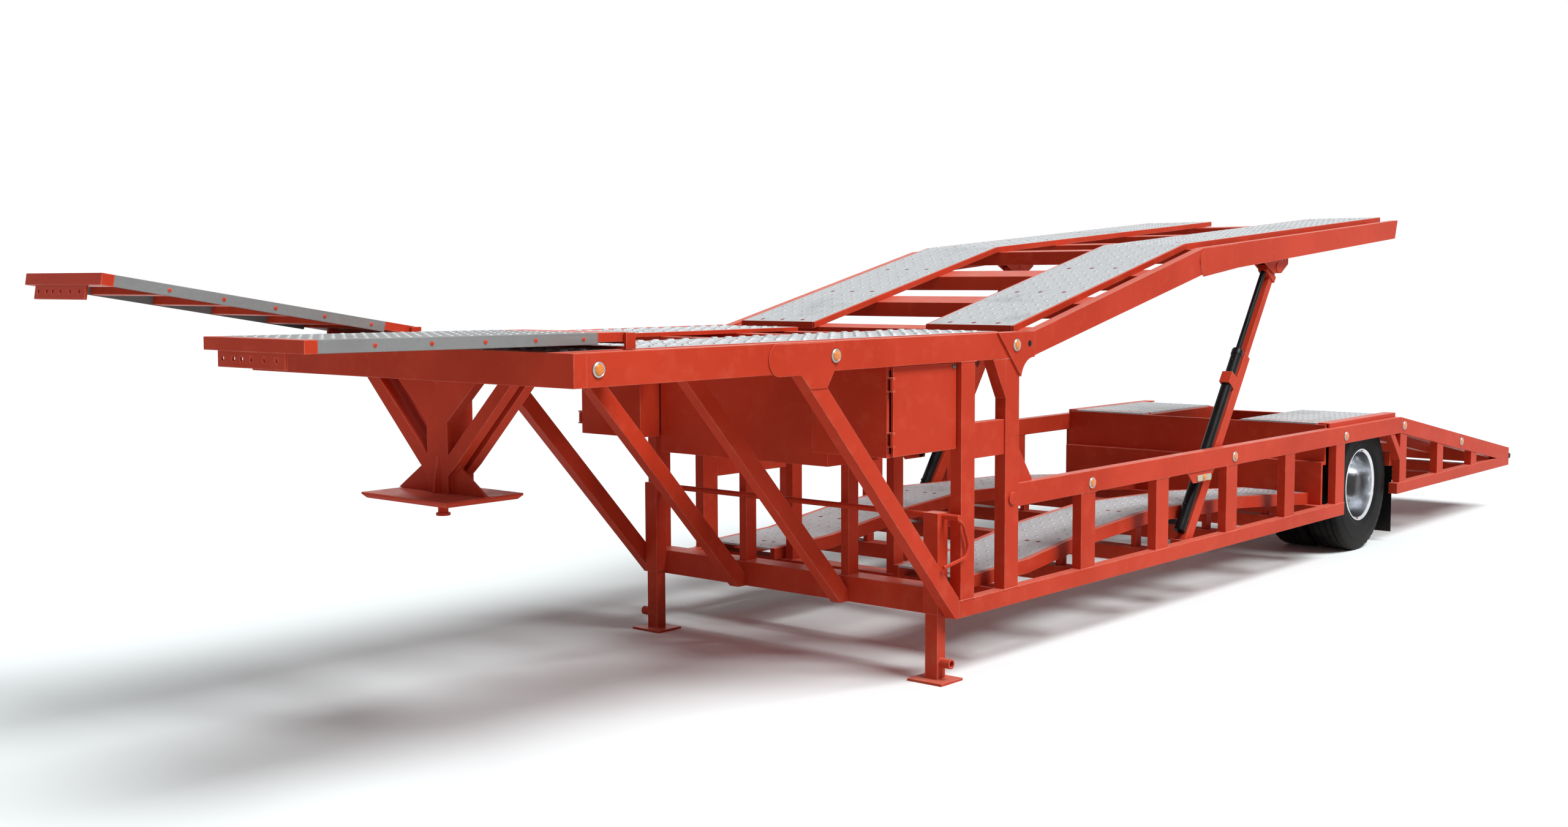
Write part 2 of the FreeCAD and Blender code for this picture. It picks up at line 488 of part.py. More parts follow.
# ---------------------------------------------------------------- lockers
def lockers():
    outer_y, hinge_x = "(half_width - locker_inset)", "(locker_front - 14)"
    hinge_y = "(half_width - locker_inset + 26)"
    shell = block("locker_shell", ("locker_rear", "locker_front"), ("locker_inner", outer_y),
                  ("locker_bottom", "deck_bottom"))
    room = block("locker_room", ("locker_rear + locker_wall", "locker_front - locker_wall"),
                 ("locker_inner + locker_wall", f"{outer_y} + 1"),
                 ("locker_bottom + locker_wall", "deck_bottom - locker_wall"))
    pieces, knuckles = [cut("locker_box", shell, room)], []
    around = (f"{hinge_x} - door_knuckle_radius", f"{hinge_x} + door_knuckle_radius")
    for i, share in enumerate((0.2, 0.8)):
        middle = f"(locker_bottom + {share} * (deck_bottom - locker_bottom))"
        low, high = f"{middle} - door_knuckle_length / 2", f"{middle} + door_knuckle_length / 2"
        pieces.append(rod(f"door_pin_{i}", "z", "door_pin_radius", (hinge_x, hinge_y), (f"{low} - 10", f"{high} + 10")))
        for j, (start, end) in enumerate(((f"{low} - 10", f"{low} - 2"), (f"{high} + 2", f"{high} + 10"))):
            pieces.append(block(f"door_ear_{i}_{j}", around, (f"{outer_y} - 1", f"{hinge_y} + door_knuckle_radius"),
                                (start, end)))
        knuckles.append((low, high))
    boxes = mirrored([fused("side_locker", pieces)])
    boxes.append(block("centre_box", ("-post_setback", "centre_box_front"), ("-centre_box_half", "centre_box_half"),
                       ("centre_box_bottom", "deck_bottom")))
    keep("lockers", boxes)
    edge = f"{hinge_x} - door_knuckle_radius - 4"
    solids = [block("door_panel", ("locker_rear + door_gap", edge),
                    (f"{outer_y} + door_gap", f"{outer_y} + door_gap + door_thickness"),
                    ("locker_bottom + door_gap", "deck_bottom - door_gap"))]
    for i, (low, high) in enumerate(knuckles):
        solids.append(block(f"door_leaf_{i}", (f"{edge} - 40", hinge_x),
                            (f"{hinge_y} - door_knuckle_radius", f"{hinge_y} - door_knuckle_radius + 6"),
                            (low, high)))
        solids.append(rod(f"door_knuckle_{i}", "z", "door_knuckle_radius", (hinge_x, hinge_y), (low, high)))
    bores = [rod(f"door_bore_{i}", "z", "door_pin_radius + running_gap", (hinge_x, hinge_y),
                 (f"{low} - 1", f"{high} + 1")) for i, (low, high) in enumerate(knuckles)]
    door = cut("locker_door", fused("door_whole", solids), fused("door_bores", bores))
    for side, copy in zip(("left", "right"), mirrored([door])):
        keep(f"{side}_locker_door", [copy])


# ---------------------------------------------------------------- well
# station and height of the well runway's top at each bend, front to rear
well_line = [("-400", "520"), ("-1000", "540"), ("-1770", "630"), ("-2580", "680"), ("-3900", "635"),
             ("-4750", "568"), ("bulkhead_station + bulkhead_step", "540")]


def well():
    silver = [band("well_runway", well_line, "0", "tread", "runway_inner + edge_width", "runway_outer - edge_width"),
              block("deck_runway", ("rear_post_rear", "deck_front - deck_beam"),
                    ("deck_plate_inner + edge_strip", "deck_plate_outer - edge_strip"),
                    ("deck_top - deck_skin", "deck_top"))]
    keep("runways", mirrored(silver))
    # edge beams rest on the first and last crossbeams; the others carry them on stanchions
    edge = [(x, f"({z})") for x, z in well_line]
    under = [("bulkhead_station + bulkhead_step", "low_rail_top"), ("bulkhead_station + beam_width", "low_rail_top")]
    under += [(x, f"({z}) - edge_depth") for x, z in reversed(well_line[1:-1])]
    under += [("rear_post_rear", "low_rail_top"), (well_line[0][0], "low_rail_top")]
    sides = (("runway_inner", "runway_inner + edge_width"), ("runway_outer - edge_width", "runway_outer"))
    red, stanchions = [], []
    for i, (low, high) in enumerate(sides):
        red.append(plate(f"well_edge_{i}", edge + under, low, high))
        for x in side_posts[:-1]:
            rear, front = f"{x} - 35", f"{x} + 35"
            tops = [f"{along(well_line, spot)} - edge_depth" for spot in (front, rear)]
            stanchions.append(plate(f"stanchion_{x}_{i}", [(rear, "low_rail_top"), (front, "low_rail_top"),
                                                           (front, tops[0]), (rear, tops[1])], low, high))
    for i, (low, high) in enumerate((("deck_plate_inner", "deck_plate_inner + edge_strip"),
                                     ("deck_plate_outer - edge_strip", "deck_plate_outer"))):
        red.append(block(f"deck_edge_{i}", ("rear_post_rear", "deck_front - deck_beam"), (low, high),
                         ("deck_top - deck_skin", "deck_top")))
    # the wheel deck's red plates: a separator, the slope behind the wheels and the arch's outer edge
    skin = "wheel_deck_top - plate_skin"
    strip_end = "bulkhead_station - strip_length"
    red.append(block("separator_plate", (f"{strip_end} - separator", strip_end),
                     ("deck_plate_inner", "deck_plate_outer"), (skin, "wheel_deck_top")))
    slope = [("wheel_deck_rear", "wheel_deck_top"), ("peak", "top_rail_top")]
    red.append(band("slope_plate", slope, "0", "plate_skin", "deck_plate_inner", "deck_plate_outer"))
    lip, arch_y = f"{inside} + 10", f"{inside} + 25"
    red.append(plate("arch_edge", [("deck_plate_outer", skin), ("deck_plate_outer", "wheel_deck_top"),
                                   (arch_y, "wheel_deck_top"), (arch_y, "top_rail_top"), (lip, "top_rail_top"),
                                   (lip, skin)], "peak + 10", "bulkhead_station - bulkhead_skin", "YZ"))
    keep("runway_edges", mirrored(red))
    # rails over the axle and bearers under the tail plates
    half = "chassis_rail_width / 2"
    rail_end, front = "peak + 60", "bulkhead_station - bulkhead_skin"
    skin_slope = [("wheel_deck_rear", skin), ("peak", "top_rail_top - plate_skin")]
    stanchions.append(plate("chassis_rail", [(front, "chassis_rail_bottom"), (front, skin), ("wheel_deck_rear", skin),
                                             (rail_end, along(skin_slope, rail_end)),
                                             (rail_end, "chassis_rail_bottom")],
                            f"deck_plate_inner - {half}", f"deck_plate_inner + {half}"))
    tail_line = [(x, f"{along(tail_top, x)} - plate_skin") for x in ("peak", "tail_end + tail_beam")]
    for i, y in enumerate(("deck_plate_inner + 40", "deck_plate_outer - 40")):
        stanchions.append(band(f"tail_bearer_{i}", tail_line, "0", "girder_depth", f"{y} - {half}", f"{y} + {half}"))
    keep("floor_bearers", mirrored(stanchions))


# ---------------------------------------------------------------- wheel deck and tail
def rear_deck():
    face, step, thick = "bulkhead_station", "(bulkhead_station + bulkhead_step)", "bulkhead_skin"
    top = "wheel_deck_top - plate_skin"
    keep("bulkhead", [plate("bulkhead_wall", [
        (step, "low_rail_top"), (step, "bulkhead_ledge"), (face, "bulkhead_ledge"), (face, top),
        (f"{face} - {thick}", top), (f"{face} - {thick}", f"bulkhead_ledge - {thick}"),
        (f"{step} - {thick}", f"bulkhead_ledge - {thick}"), (f"{step} - {thick}", "low_rail_top")],
        f"-({inside})", inside)])
    across, thin = ("deck_plate_inner", "deck_plate_outer"), (top, "wheel_deck_top")
    strip_end = "bulkhead_station - strip_length"
    tail = [(x, along(tail_top, x)) for x in ("peak", "tail_end + 20")]
    keep("rear_deck_plates", mirrored([
        block("wheel_deck_strip", (strip_end, "bulkhead_station"), across, thin),
        block("wheel_deck_plate", ("wheel_deck_rear", f"{strip_end} - separator"), across, thin),
        band("tail_plate", tail, "0", "plate_skin", *across)]))


# ---------------------------------------------------------------- axle, suspension and wheels
def running_gear():
    half = "axle_beam / 2"
    twins = f"({tyre_face} - tyre_width / 2 - {twin_pitch} / 2)"
    arm_y = ("deck_plate_inner - chassis_rail_width / 2", "deck_plate_inner + chassis_rail_width / 2")
    beam = block("axle_square", (f"axle_station - {half}", f"axle_station + {half}"),
                 (f"-({twins} - 310)", f"{twins} - 310"), (f"axle_height - {half}", f"axle_height + {half}"))
    spindle = rod("axle_spindle", "y", "spindle_radius", ("axle_station", "axle_height"),
                  (f"-({twins} + 30)", f"{twins} + 30"))
    pieces = [beam, spindle]
    for copy in mirrored([
            block("hanger", ("axle_station + 440", "axle_station + 530"), arm_y,
                  (f"axle_height - {half} - 58", "chassis_rail_bottom")),
            block("trailing_arm", ("axle_station - 450", "axle_station + 440"), arm_y,
                  (f"axle_height - {half} - 58", f"axle_height - {half}"))]):
        pieces.append(copy)
    keep("axle", [fused("axle_and_arms", pieces)])
    keep("air_springs", mirrored([rod("air_spring", "z", "115", ("axle_station - 340", "deck_plate_inner - 40"),
                                      (f"axle_height - {half}", "chassis_rail_bottom"))]))
    keep("mudflaps_and_buffers", mirrored([
        block("mudflap", ("flap_station - 8", "flap_station + 2"), ("520", f"{inside} - 3"), ("60", "755")),
        rod("rubber_buffer", "y", "buffer_radius", ("tail_end - buffer_radius", "buffer_height"),
            (inside, "half_width"))]))
    wide = "(tyre_width / 2)"
    for side, turn in (("left", (vec(1, 0, 0), -90)), ("right", (vec(1, 0, 0), 90))):
        sign = "" if side == "left" else "-"
        tyres, rims = [], []
        for i, flip in enumerate(("-1", "1")):
            spot = ("axle_station", f"{sign}({tyre_face} - {wide} - {i} * {twin_pitch})", "axle_height")
            tyre = turned(f"{side}_tyre_{i}", [
                ("bead_radius", f"-{wide} + 33"), ("bead_radius + 45", f"-{wide} + 4"),
                ("bead_radius + 125", f"-{wide}"), ("tyre_radius - 40", f"-{wide} + 10"),
                ("tyre_radius", f"-{wide} + 40"), ("tyre_radius", f"{wide} - 40"),
                ("tyre_radius - 40", f"{wide} - 10"), ("bead_radius + 125", wide),
                ("bead_radius + 45", f"{wide} - 4"), ("bead_radius", f"{wide} - 33")])
            tyres.append(placed(tyre, spot, turn))
            # each disc lies on the side of its twin, so that the outer wheel is dished
            rims.append(placed(turned(f"{side}_rim_{i}", rim_outline(flip, f"({wide} - 15)")), spot, turn))
        keep(f"{side}_tyres", tyres)
        keep(f"{side}_rims", rims)
        hub = turned(f"{side}_hub_core", [
            ("spindle_radius + running_gap", f"{twins} - 250"), ("drum_radius", f"{twins} - 250"),
            ("drum_radius", f"{twins} - 60"), ("100", f"{twins} - 40"), ("100", f"{twins} - 8"),
            ("168", f"{twins} - 8"), ("168", f"{twins} + 8"), ("100", f"{twins} + 8"), ("92", f"{twins} + 110"),
            ("0", f"{twins} + 110"), ("0", f"{twins} + 35"), ("spindle_radius + running_gap", f"{twins} + 35")])
        keep(f"{side}_hub", [placed(hub, ("axle_station", "0", "axle_height"), turn)])


def rim_outline(flip, lip):
    """(radius, offset) outline of a disc wheel whose disc lies on the side named by flip."""
    toward, away = f"{flip} * {lip}", f"-({flip}) * {lip}"
    seat, web = f"{flip} * ({twin_pitch} / 2 - 8)", f"{flip} * ({twin_pitch} / 2 - 8 - disc)"
    return [("rim_radius", away), ("bead_radius - running_gap", f"{away} + {flip} * 14"),
            ("bead_radius - running_gap", toward), ("rim_radius - 24", f"{toward} + {flip} * 6"),
            ("190", seat), ("104", seat), ("104", web), ("190", web),
            ("bead_radius - 26", f"{toward} - {flip} * 24"), ("bead_radius - 18", f"{away} + {flip} * 20"),
            ("rim_radius - 8", f"{away} - {flip} * 4")]


# ---------------------------------------------------------------- upper deck
upper_top = [("upper_front", "upper_front_top"), ("kink_station", "kink_top"), ("upper_end", "upper_end_top")]
upper_under = [("upper_front", "upper_front_bottom"), ("kink_station", "kink_bottom"),
               ("upper_end + upper_end_cut", "upper_end_bottom")]


def upper_deck():
    rail_y = (f"{inside} + deck_clearance", "half_width - deck_clearance")
    rail = plate("upper_rail_bar", upper_top + list(reversed(upper_under)), *rail_y)
    lug = fused("pivot_lug", [
        rod("pivot_lug_eye", "y", "lug_radius", ("pivot_station", "pivot_height"), rail_y),
        block("pivot_lug_neck", ("upper_front - 5", "pivot_station"), rail_y,
              ("pivot_height - lug_radius", "pivot_height + lug_radius"))])
    kink = plate("kink_plate", [
        ("kink_station + 41", "kink_top - 51", "kink_radius", 1), ("kink_station + 9", "kink_bottom - 18"),
        ("kink_station - kink_plate_length", along(upper_under, "kink_station - kink_plate_length")),
        ("kink_station - kink_plate_length", f"{along(upper_under, 'kink_station - kink_plate_length')} + 40")],
        "half_width - deck_clearance", "half_width")
    bore = rod("pivot_bore", "y", "pivot_radius + running_gap", ("pivot_station", "pivot_height"), rail_y)
    # a clevis under each rail: two long cheeks joined over the lift's eye
    ceiling = f"({along(upper_under, 'lift_eye_station')} + 75)"
    nose, tail = "lift_eye_station + 240", "lift_eye_station - 180"
    cheek = [(nose, ceiling), (nose, along(upper_under, nose)),
             ("lift_eye_station + cheek_half", "lift_eye_height - 45"),
             ("lift_eye_station - cheek_half", "lift_eye_height - 45"), (tail, "lift_eye_height + 25"),
             (tail, ceiling)]
    face = "(lift_width / 2 + deck_clearance)"
    clevis = fused("lift_clevis", [
        plate("cheek_inner", cheek, f"{lift_line} - {face} - cheek", f"{lift_line} - {face}"),
        plate("cheek_outer", cheek, f"{lift_line} + {face}", f"{lift_line} + {face} + cheek"),
        block("cheek_bridge", (tail, nose), (f"{lift_line} - {face} - cheek", f"{lift_line} + {face} + cheek"),
              (f"{ceiling} - 20", ceiling)),
        rod("cheek_boss_inner", "y", "eye_radius", ("lift_eye_station", "lift_eye_height"),
            (f"{lift_line} - {face} - cheek - 8", f"{lift_line} - {face}")),
        rod("cheek_boss_outer", "y", "eye_radius", ("lift_eye_station", "lift_eye_height"),
            (f"{lift_line} + {face}", f"{lift_line} + {face} + cheek + 8"))])
    through = (f"{lift_line} - {face} - cheek - 1", f"{lift_line} + {face} + cheek + 1")
    holes = [rod(f"cheek_hole_{i}", "y", "12", (f"lift_eye_station - {back}", "lift_eye_height + 52"), through)
             for i, back in enumerate((100, 150))]
    clevis = cut("lift_clevis_bored", clevis, fused("cheek_holes", holes))
    keep("upper_deck_rails", mirrored([cut("upper_deck_rail", fused("upper_rail_whole", [rail, lug, kink, clevis]),
                                           bore)]))
    # members across the deck, whose tops lie along the runways' underside
    floor = [(x, f"({z}) - plate_skin") for x, z in upper_top]
    members = []
    for i, (station, width) in enumerate(((-860, 90), (-1543, 170), (-2266, 170), (-3046, 170), (-3846, 170),
                                          (-4959, 170), (-6200, 170))):
        rear, front = f"{station} - {width} / 2", f"{station} + {width} / 2"
        line = [(x, along(floor, x)) for x in (front, rear)]
        members.append(band(f"upper_member_{i}", line, "0", "member_depth", f"-({inside} + deck_clearance)",
                            f"{inside} + deck_clearance"))
    keep("upper_deck_crossmembers", members)
    line = upper_top[:-1] + [("upper_end + 10", along(upper_top, "upper_end + 10"))]
    keep("upper_deck_runways", mirrored([
        band("upper_runway", line, "30", "plate_skin", "deck_plate_inner + edge_strip",
             "deck_plate_outer - edge_strip")]))
    keep("upper_runway_edges", mirrored([
        band("upper_edge_inner", line, "30", "plate_skin", "deck_plate_inner", "deck_plate_inner + edge_strip"),
        band("upper_edge_outer", line, "30", "plate_skin", "deck_plate_outer - edge_strip", "deck_plate_outer")]))


# ---------------------------------------------------------------- lift posts
def lift_posts():
    """Each post is modelled upright on its foot pivot, then leaned back to its eye."""
    half_y, half_x, wall = "lift_width / 2", "lift_tube / 2", "lift_wall"
    long = ("sqrt((lift_base_station - lift_eye_station) ^ 2"
            " + (lift_eye_height - lift_base_height) ^ 2)")
    reach = "(cylinder_offset + cylinder_radius)"
    shell = fused("lift_outer_whole", [
        block("lift_outer_shell", (f"-{half_x}", half_x), (f"-{half_y}", half_y), ("-30", "lift_outer_length")),
        block("lift_collar", (half_x, f"{reach} + 12"), (f"-{half_y} - 5", f"{half_y} + 5"),
              ("collar_place - collar_length", "collar_place")),
        block("lift_hook", (f"-{half_x} - 35", f"-{half_x}"), ("-12", "12"), ("lift_outer_length - 90",
                                                                             "lift_outer_length - 40"))])
    hollows = fused("lift_outer_hollows", [
        block("lift_outer_bore", (f"-{half_x} + {wall}", f"{half_x} - {wall}"),
              (f"-{half_y} + {wall}", f"{half_y} - {wall}"), ("60", "lift_outer_length + 1")),
        rod("lift_foot_bore", "y", "pivot_radius + running_gap", ("0", "0"), (f"-{half_y} - 1", f"{half_y} + 1")),
        rod("lift_collar_bore", "z", "cylinder_radius + running_gap", ("cylinder_offset", "0"),
            ("collar_place - collar_length - 1", "collar_place + 1"))])
    outer = cut("lift_outer_tube", shell, hollows)
    barrel = cut("lift_barrel_tube",
                 rod("lift_barrel_shell", "z", "cylinder_radius", ("cylinder_offset", "0"),
                     ("60", "cylinder_length")),
                 fused("lift_barrel_hollows", [
                     rod("lift_barrel_bore", "z", "cylinder_bore", ("cylinder_offset", "0"),
                         ("100", "cylinder_length - 60")),
                     rod("lift_gland_bore", "z", "rod_radius + running_gap", ("cylinder_offset", "0"),
                         ("cylinder_length - 70", "cylinder_length + 1"))]))
    tie = block("lift_barrel_tie", (half_x, "cylinder_offset - cylinder_radius + 6"),
                ("-20", "20"), ("70", "170"))
    slack = f"({wall} + lift_slide_gap)"
    pad = "lift_outer_length - 500"
    inner = block("lift_inner_post", ("-slide_depth / 2", "slide_depth / 2"),
                  (f"-{half_y} + {slack}", f"{half_y} - {slack}"), (pad, f"{long} - 10"))
    guide = block("lift_guide_pad", (f"-{half_x} + {slack}", f"{half_x} - {slack}"),
                  (f"-{half_y} + {slack}", f"{half_y} - {slack}"), (pad, f"{pad} + 80"))
    head = block("lift_head", (f"-{half_x}", "cylinder_offset + rod_radius"), (f"-{half_y}", half_y),
                 (f"{long} - 110", f"{long} - 60"))
    eye = rod("lift_eye", "y", "eye_radius", ("0", long), (f"-{half_y}", half_y))
    ram_rod = rod("lift_rod", "z", "rod_radius", ("cylinder_offset", "0"),
                  ("cylinder_length - 260", f"{long} - 80"))
    lean = FreeCAD.Rotation(vec(0, 1, 0), -math.degrees(math.atan2(
        value("lift_base_station - lift_eye_station"), value("lift_eye_height - lift_base_height"))))
    for name, shape in (("lift_post", outer), ("lift_cylinder", fused("lift_barrel_whole", [barrel, tie])),
                        ("lift_ram", fused("lift_ram_whole", [inner, guide, head, eye, ram_rod]))):
        group = doc.addObject("Part::Compound", f"leaned_{name}")
        group.Links = [shape]
        group.Placement = FreeCAD.Placement(vec(), lean)
        placed(group, ("lift_base_station", lift_line, "lift_base_height"))
        for side, copy in zip(("left", "right"), mirrored([group])):
            keep(f"{side}_{name}", [copy])


# ---------------------------------------------------------------- front runways
def front_runways():
    """Modelled with the hinge at the origin.  Each is then raised to its parked angle, and the right
    one is a copy of the left one, moved across by the runways' pitch."""
    reach = "(ramp_tip - ramp_hinge_station)"
    wide = ("ramp_inner", "ramp_outer")
    within = ("ramp_inner + ramp_skin", "ramp_outer - ramp_skin")
    top = "(ramp_depth / 2)"
    ceiling = f"{top} - ramp_skin"
    tray = [("ramp_tray", cut("ramp_tray", block("ramp_tray_shell", ("ramp_tray_start", f"{reach} - ramp_cap"),
                                                 wide, (f"-{top}", top)),
                              block("ramp_tray_room", ("ramp_tray_start - 1", f"{reach}"), within,
                                    (f"-{top} - 1", ceiling))))]
    # the hinge link, the bars under the tray, and the toe's box and hanging plate
    arm = block("ramp_link_block", ("0", "ramp_tray_start"), wide, (f"-{top} + 12", top))
    barrel = rod("ramp_hinge_barrel", "y", top, ("0", "0"), wide)
    bore = rod("ramp_hinge_bore", "y", "ramp_hinge_radius / 2 + running_gap", ("0", "0"),
               ("ramp_inner - 1", "ramp_outer + 1"))
    box = block("ramp_cap_box", (f"{reach} - ramp_cap", reach), wide, (f"-{top}", top))
    toe = block("ramp_toe", (f"{reach} - 14", f"{reach} - 2"), ("toe_inner", "toe_outer"),
                (f"-{top} - toe_drop", f"-{top} + 5"))
    holes = [rod(f"toe_hole_{i}", "x", "toe_hole_radius",
                 (f"toe_inner + (toe_outer - toe_inner) * {share}", f"-{top} - toe_drop * 0.45"),
                 (f"{reach} - 15", f"{reach} - 1")) for i, share in enumerate((0.07, 0.24, 0.36, 0.51, 0.7, 0.88))]
    red = [("ramp_link", cut("ramp_link", fused("ramp_link_whole", [arm, barrel]), bore)),
           ("ramp_toe_box", cut("ramp_toe_box", fused("ramp_toe_whole", [box, toe]), fused("toe_holes", holes)))]
    for i in range(4):
        spot = f"({reach} * (0.22 + {i} * 0.19))"
        red.append((f"ramp_bar_{i}", block(f"ramp_bar_{i}", (spot, f"{spot} + 40"), within,
                                           (f"-{top} + 4", ceiling))))
    for side, angle, shift in (("left", "ramp_rest_left", "0"), ("right", "ramp_rest_right", "-ramp_pitch")):
        for node, shapes in (("front_runway", tray), ("runway_toe", red)):
            copies = []
            for name, shape in shapes:
                copy = doc.addObject("Part::Compound", f"{side}_{name}_copy")
                copy.Links = [shape]
                copies.append(copy)
            group = doc.addObject("Part::Compound", f"hung_{side}_{node}")
            group.Links = copies
            group.Placement = FreeCAD.Placement(vec(), FreeCAD.Rotation(vec(0, 1, 0), -value(angle)))
            placed(group, ("ramp_hinge_station", shift, "ramp_hinge_height"))
            keep(f"{side}_{node}", [group])


# ---------------------------------------------------------------- lamps
def lamps():
    # station, height and the thickness of what each lamp is mounted on
    spots = ((2750, 1880, 0), (1114, 1880, "sleeve"), (-556, 1880, "gusset"), (-1450, 985, 0), (-3440, 985, 0),
             (-5435, 985, 0), (-6688, 985, 0), (-8115, 738, 0))
    discs = [rod(f"side_lamp_{i}", "y", "lamp_radius", (str(x), str(z)),
                 (f"half_width + {base}", f"half_width + {base} + lamp_depth"))
             for i, (x, z, base) in enumerate(spots)]
    discs.append(block("tab_lamp", ("-3082", "-3024"), ("half_width - 12", "half_width - 2"), ("852", "892")))
    tail = [block(f"tail_lamp_{i}", ("tail_end - 12", "tail_end"), (str(y), str(y + 190)), ("450", "530"))
            for i, y in enumerate((620, 840))]
    keep("lamps", mirrored(discs + tail))


side_frames()
crossbeams()
gussets()
pivot_brackets()
coupling()
landing_gear()
lockers()
well()
rear_deck()
running_gear()
upper_deck()
lift_posts()
front_runways()
lamps()

doc.recompute()
faulty = [item.Name for item in doc.Objects if {"Invalid", "Error"} & set(item.State)]
assert not faulty, f"objects in error: {faulty}"
os.makedirs("parts", exist_ok=True)
whole = FreeCAD.BoundBox()
for node, holder in parts.items():
    shape = holder.Shape
    assert not shape.isNull() and shape.isValid() and shape.Solids, f"{node} is not a valid solid"
    shape.exportStep(f"parts/{node}.step")
    whole.add(shape.BoundBox)
    print(node, len(shape.Solids), "solids", round(shape.Volume / 1e6, 2), "litres")
print(len(parts), "sub-parts, box", whole)
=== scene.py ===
import bmesh
import bpy
import json
import math
from mathutils import Matrix, Vector
from mathutils.bvhtree import BVHTree


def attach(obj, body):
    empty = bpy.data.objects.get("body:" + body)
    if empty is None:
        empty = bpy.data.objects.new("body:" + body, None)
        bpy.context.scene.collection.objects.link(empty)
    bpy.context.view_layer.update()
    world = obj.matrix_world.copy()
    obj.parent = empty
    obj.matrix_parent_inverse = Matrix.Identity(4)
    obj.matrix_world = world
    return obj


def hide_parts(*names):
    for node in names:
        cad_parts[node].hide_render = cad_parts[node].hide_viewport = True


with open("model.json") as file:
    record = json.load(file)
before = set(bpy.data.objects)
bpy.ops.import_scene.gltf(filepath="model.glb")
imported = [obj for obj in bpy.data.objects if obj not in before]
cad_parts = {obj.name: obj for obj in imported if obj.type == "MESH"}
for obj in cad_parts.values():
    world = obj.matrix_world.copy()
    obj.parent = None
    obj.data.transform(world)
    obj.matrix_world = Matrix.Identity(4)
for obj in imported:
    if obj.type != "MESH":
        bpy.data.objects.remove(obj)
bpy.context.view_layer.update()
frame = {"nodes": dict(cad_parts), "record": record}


def linked(name, data):
    # a new object in the scene
    thing = bpy.data.objects.new(name, data)
    bpy.context.scene.collection.objects.link(thing)
    return thing


cameraSet = {"place": (10.4915, 6.655, 2.299), "yaw": 220.733, "pitch": 4.619, "roll": 0.2127,
             "lens": 38.74, "sensor": 36.0, "reach": 300}


def makeCamera(part):
    # looks along a yaw and down by a pitch, rolled about its own line of sight
    yaw, pitch, roll = (math.radians(part[key]) for key in ("yaw", "pitch", "roll"))
    ahead = Vector((math.cos(yaw) * math.cos(pitch), math.sin(yaw) * math.cos(pitch), -math.sin(pitch)))
    right = Vector((math.sin(yaw), -math.cos(yaw), 0))
    down = ahead.cross(right)
    across = right * math.cos(roll) + down * math.sin(roll)
    below = down * math.cos(roll) - right * math.sin(roll)
    data = bpy.data.cameras.new("viewpoint")
    data.lens = part["lens"]
    data.sensor_width = part["sensor"]
    data.clip_end = part["reach"]
    camera = linked("viewpoint", data)
    turn = Matrix((across, -below, -ahead)).transposed().to_4x4()
    camera.matrix_world = Matrix.Translation(part["place"]) @ turn
    bpy.context.scene.camera = camera


makeCamera(cameraSet)
print("camera set")


def feed(tree, kind, inputs=None, **options):
    # adds one node: sockets given as an input are linked, anything else is set
    node = tree.nodes.new(kind)
    for key, setting in options.items():
        setattr(node, key, setting)
    for key, given in (inputs or {}).items():
        socket = node.inputs[key]
        if isinstance(given, bpy.types.NodeSocket):
            tree.links.new(given, socket)
        else:
            socket.default_value = given
    return node


def startMaterial(name):
    material = bpy.data.materials.new(name)
    material.use_nodes = True
    tree = material.node_tree
    place = feed(tree, "ShaderNodeTexCoord").outputs["Object"]
    return material, tree, tree.nodes["Principled BSDF"], place


def noise(tree, place, scale, detail, rough=0.55):
    return feed(tree, "ShaderNodeTexNoise", {"Vector": place, "Scale": scale, "Detail": detail,
                                             "Roughness": rough}).outputs["Fac"]


def voronoi(tree, place, scale, output):
    return feed(tree, "ShaderNodeTexVoronoi", {"Vector": place, "Scale": scale}).outputs[output]


def stretched(tree, place, scale):
    return feed(tree, "ShaderNodeMapping", {"Vector": place, "Scale": scale}).outputs["Vector"]


def component(tree, vector, axis):
    return feed(tree, "ShaderNodeSeparateXYZ", {"Vector": vector}).outputs[axis]


def arithmetic(tree, operation, first, second):
    return feed(tree, "ShaderNodeMath", {0: first, 1: second}, operation=operation).outputs[0]


def spread(tree, source, low, high, start=0.0, end=1.0):
    # maps low..high of a value onto start..end, held at both ends
    return feed(tree, "ShaderNodeMapRange", {"Value": source, "From Min": low, "From Max": high,
                                             "To Min": start, "To Max": end}).outputs["Result"]


noiseSpan = (0.3, 0.7)


def roughness(tree, source, levels):
    # from the smoothest level to the roughest over the span where most of a noise lies
    return spread(tree, source, *noiseSpan, *levels)


def blendColour(tree, share, first, second):
    mix = feed(tree, "ShaderNodeMix", {"Factor": share}, data_type="RGBA")
    for socket, given in ((mix.inputs[6], first), (mix.inputs[7], second)):
        if isinstance(given, bpy.types.NodeSocket):
            tree.links.new(given, socket)
        else:
            socket.default_value = (*given, 1.0)
    return mix.outputs[2]


def layered(tree, colour, layers):
    # layers of (share, tint), each over the last
    for share, tint in layers:
        colour = blendColour(tree, share, colour, tint)
    return colour


def edgeMask(tree, radius, flattest, roundest):
    # high where a rounded-over normal leaves the flat one, so along the edges
    rounded = feed(tree, "ShaderNodeBevel", {"Radius": radius}, samples=4).outputs["Normal"]
    flat = feed(tree, "ShaderNodeNewGeometry").outputs["Normal"]
    dot = feed(tree, "ShaderNodeVectorMath", {0: rounded, 1: flat}, operation="DOT_PRODUCT").outputs["Value"]
    return spread(tree, dot, flattest, roundest)


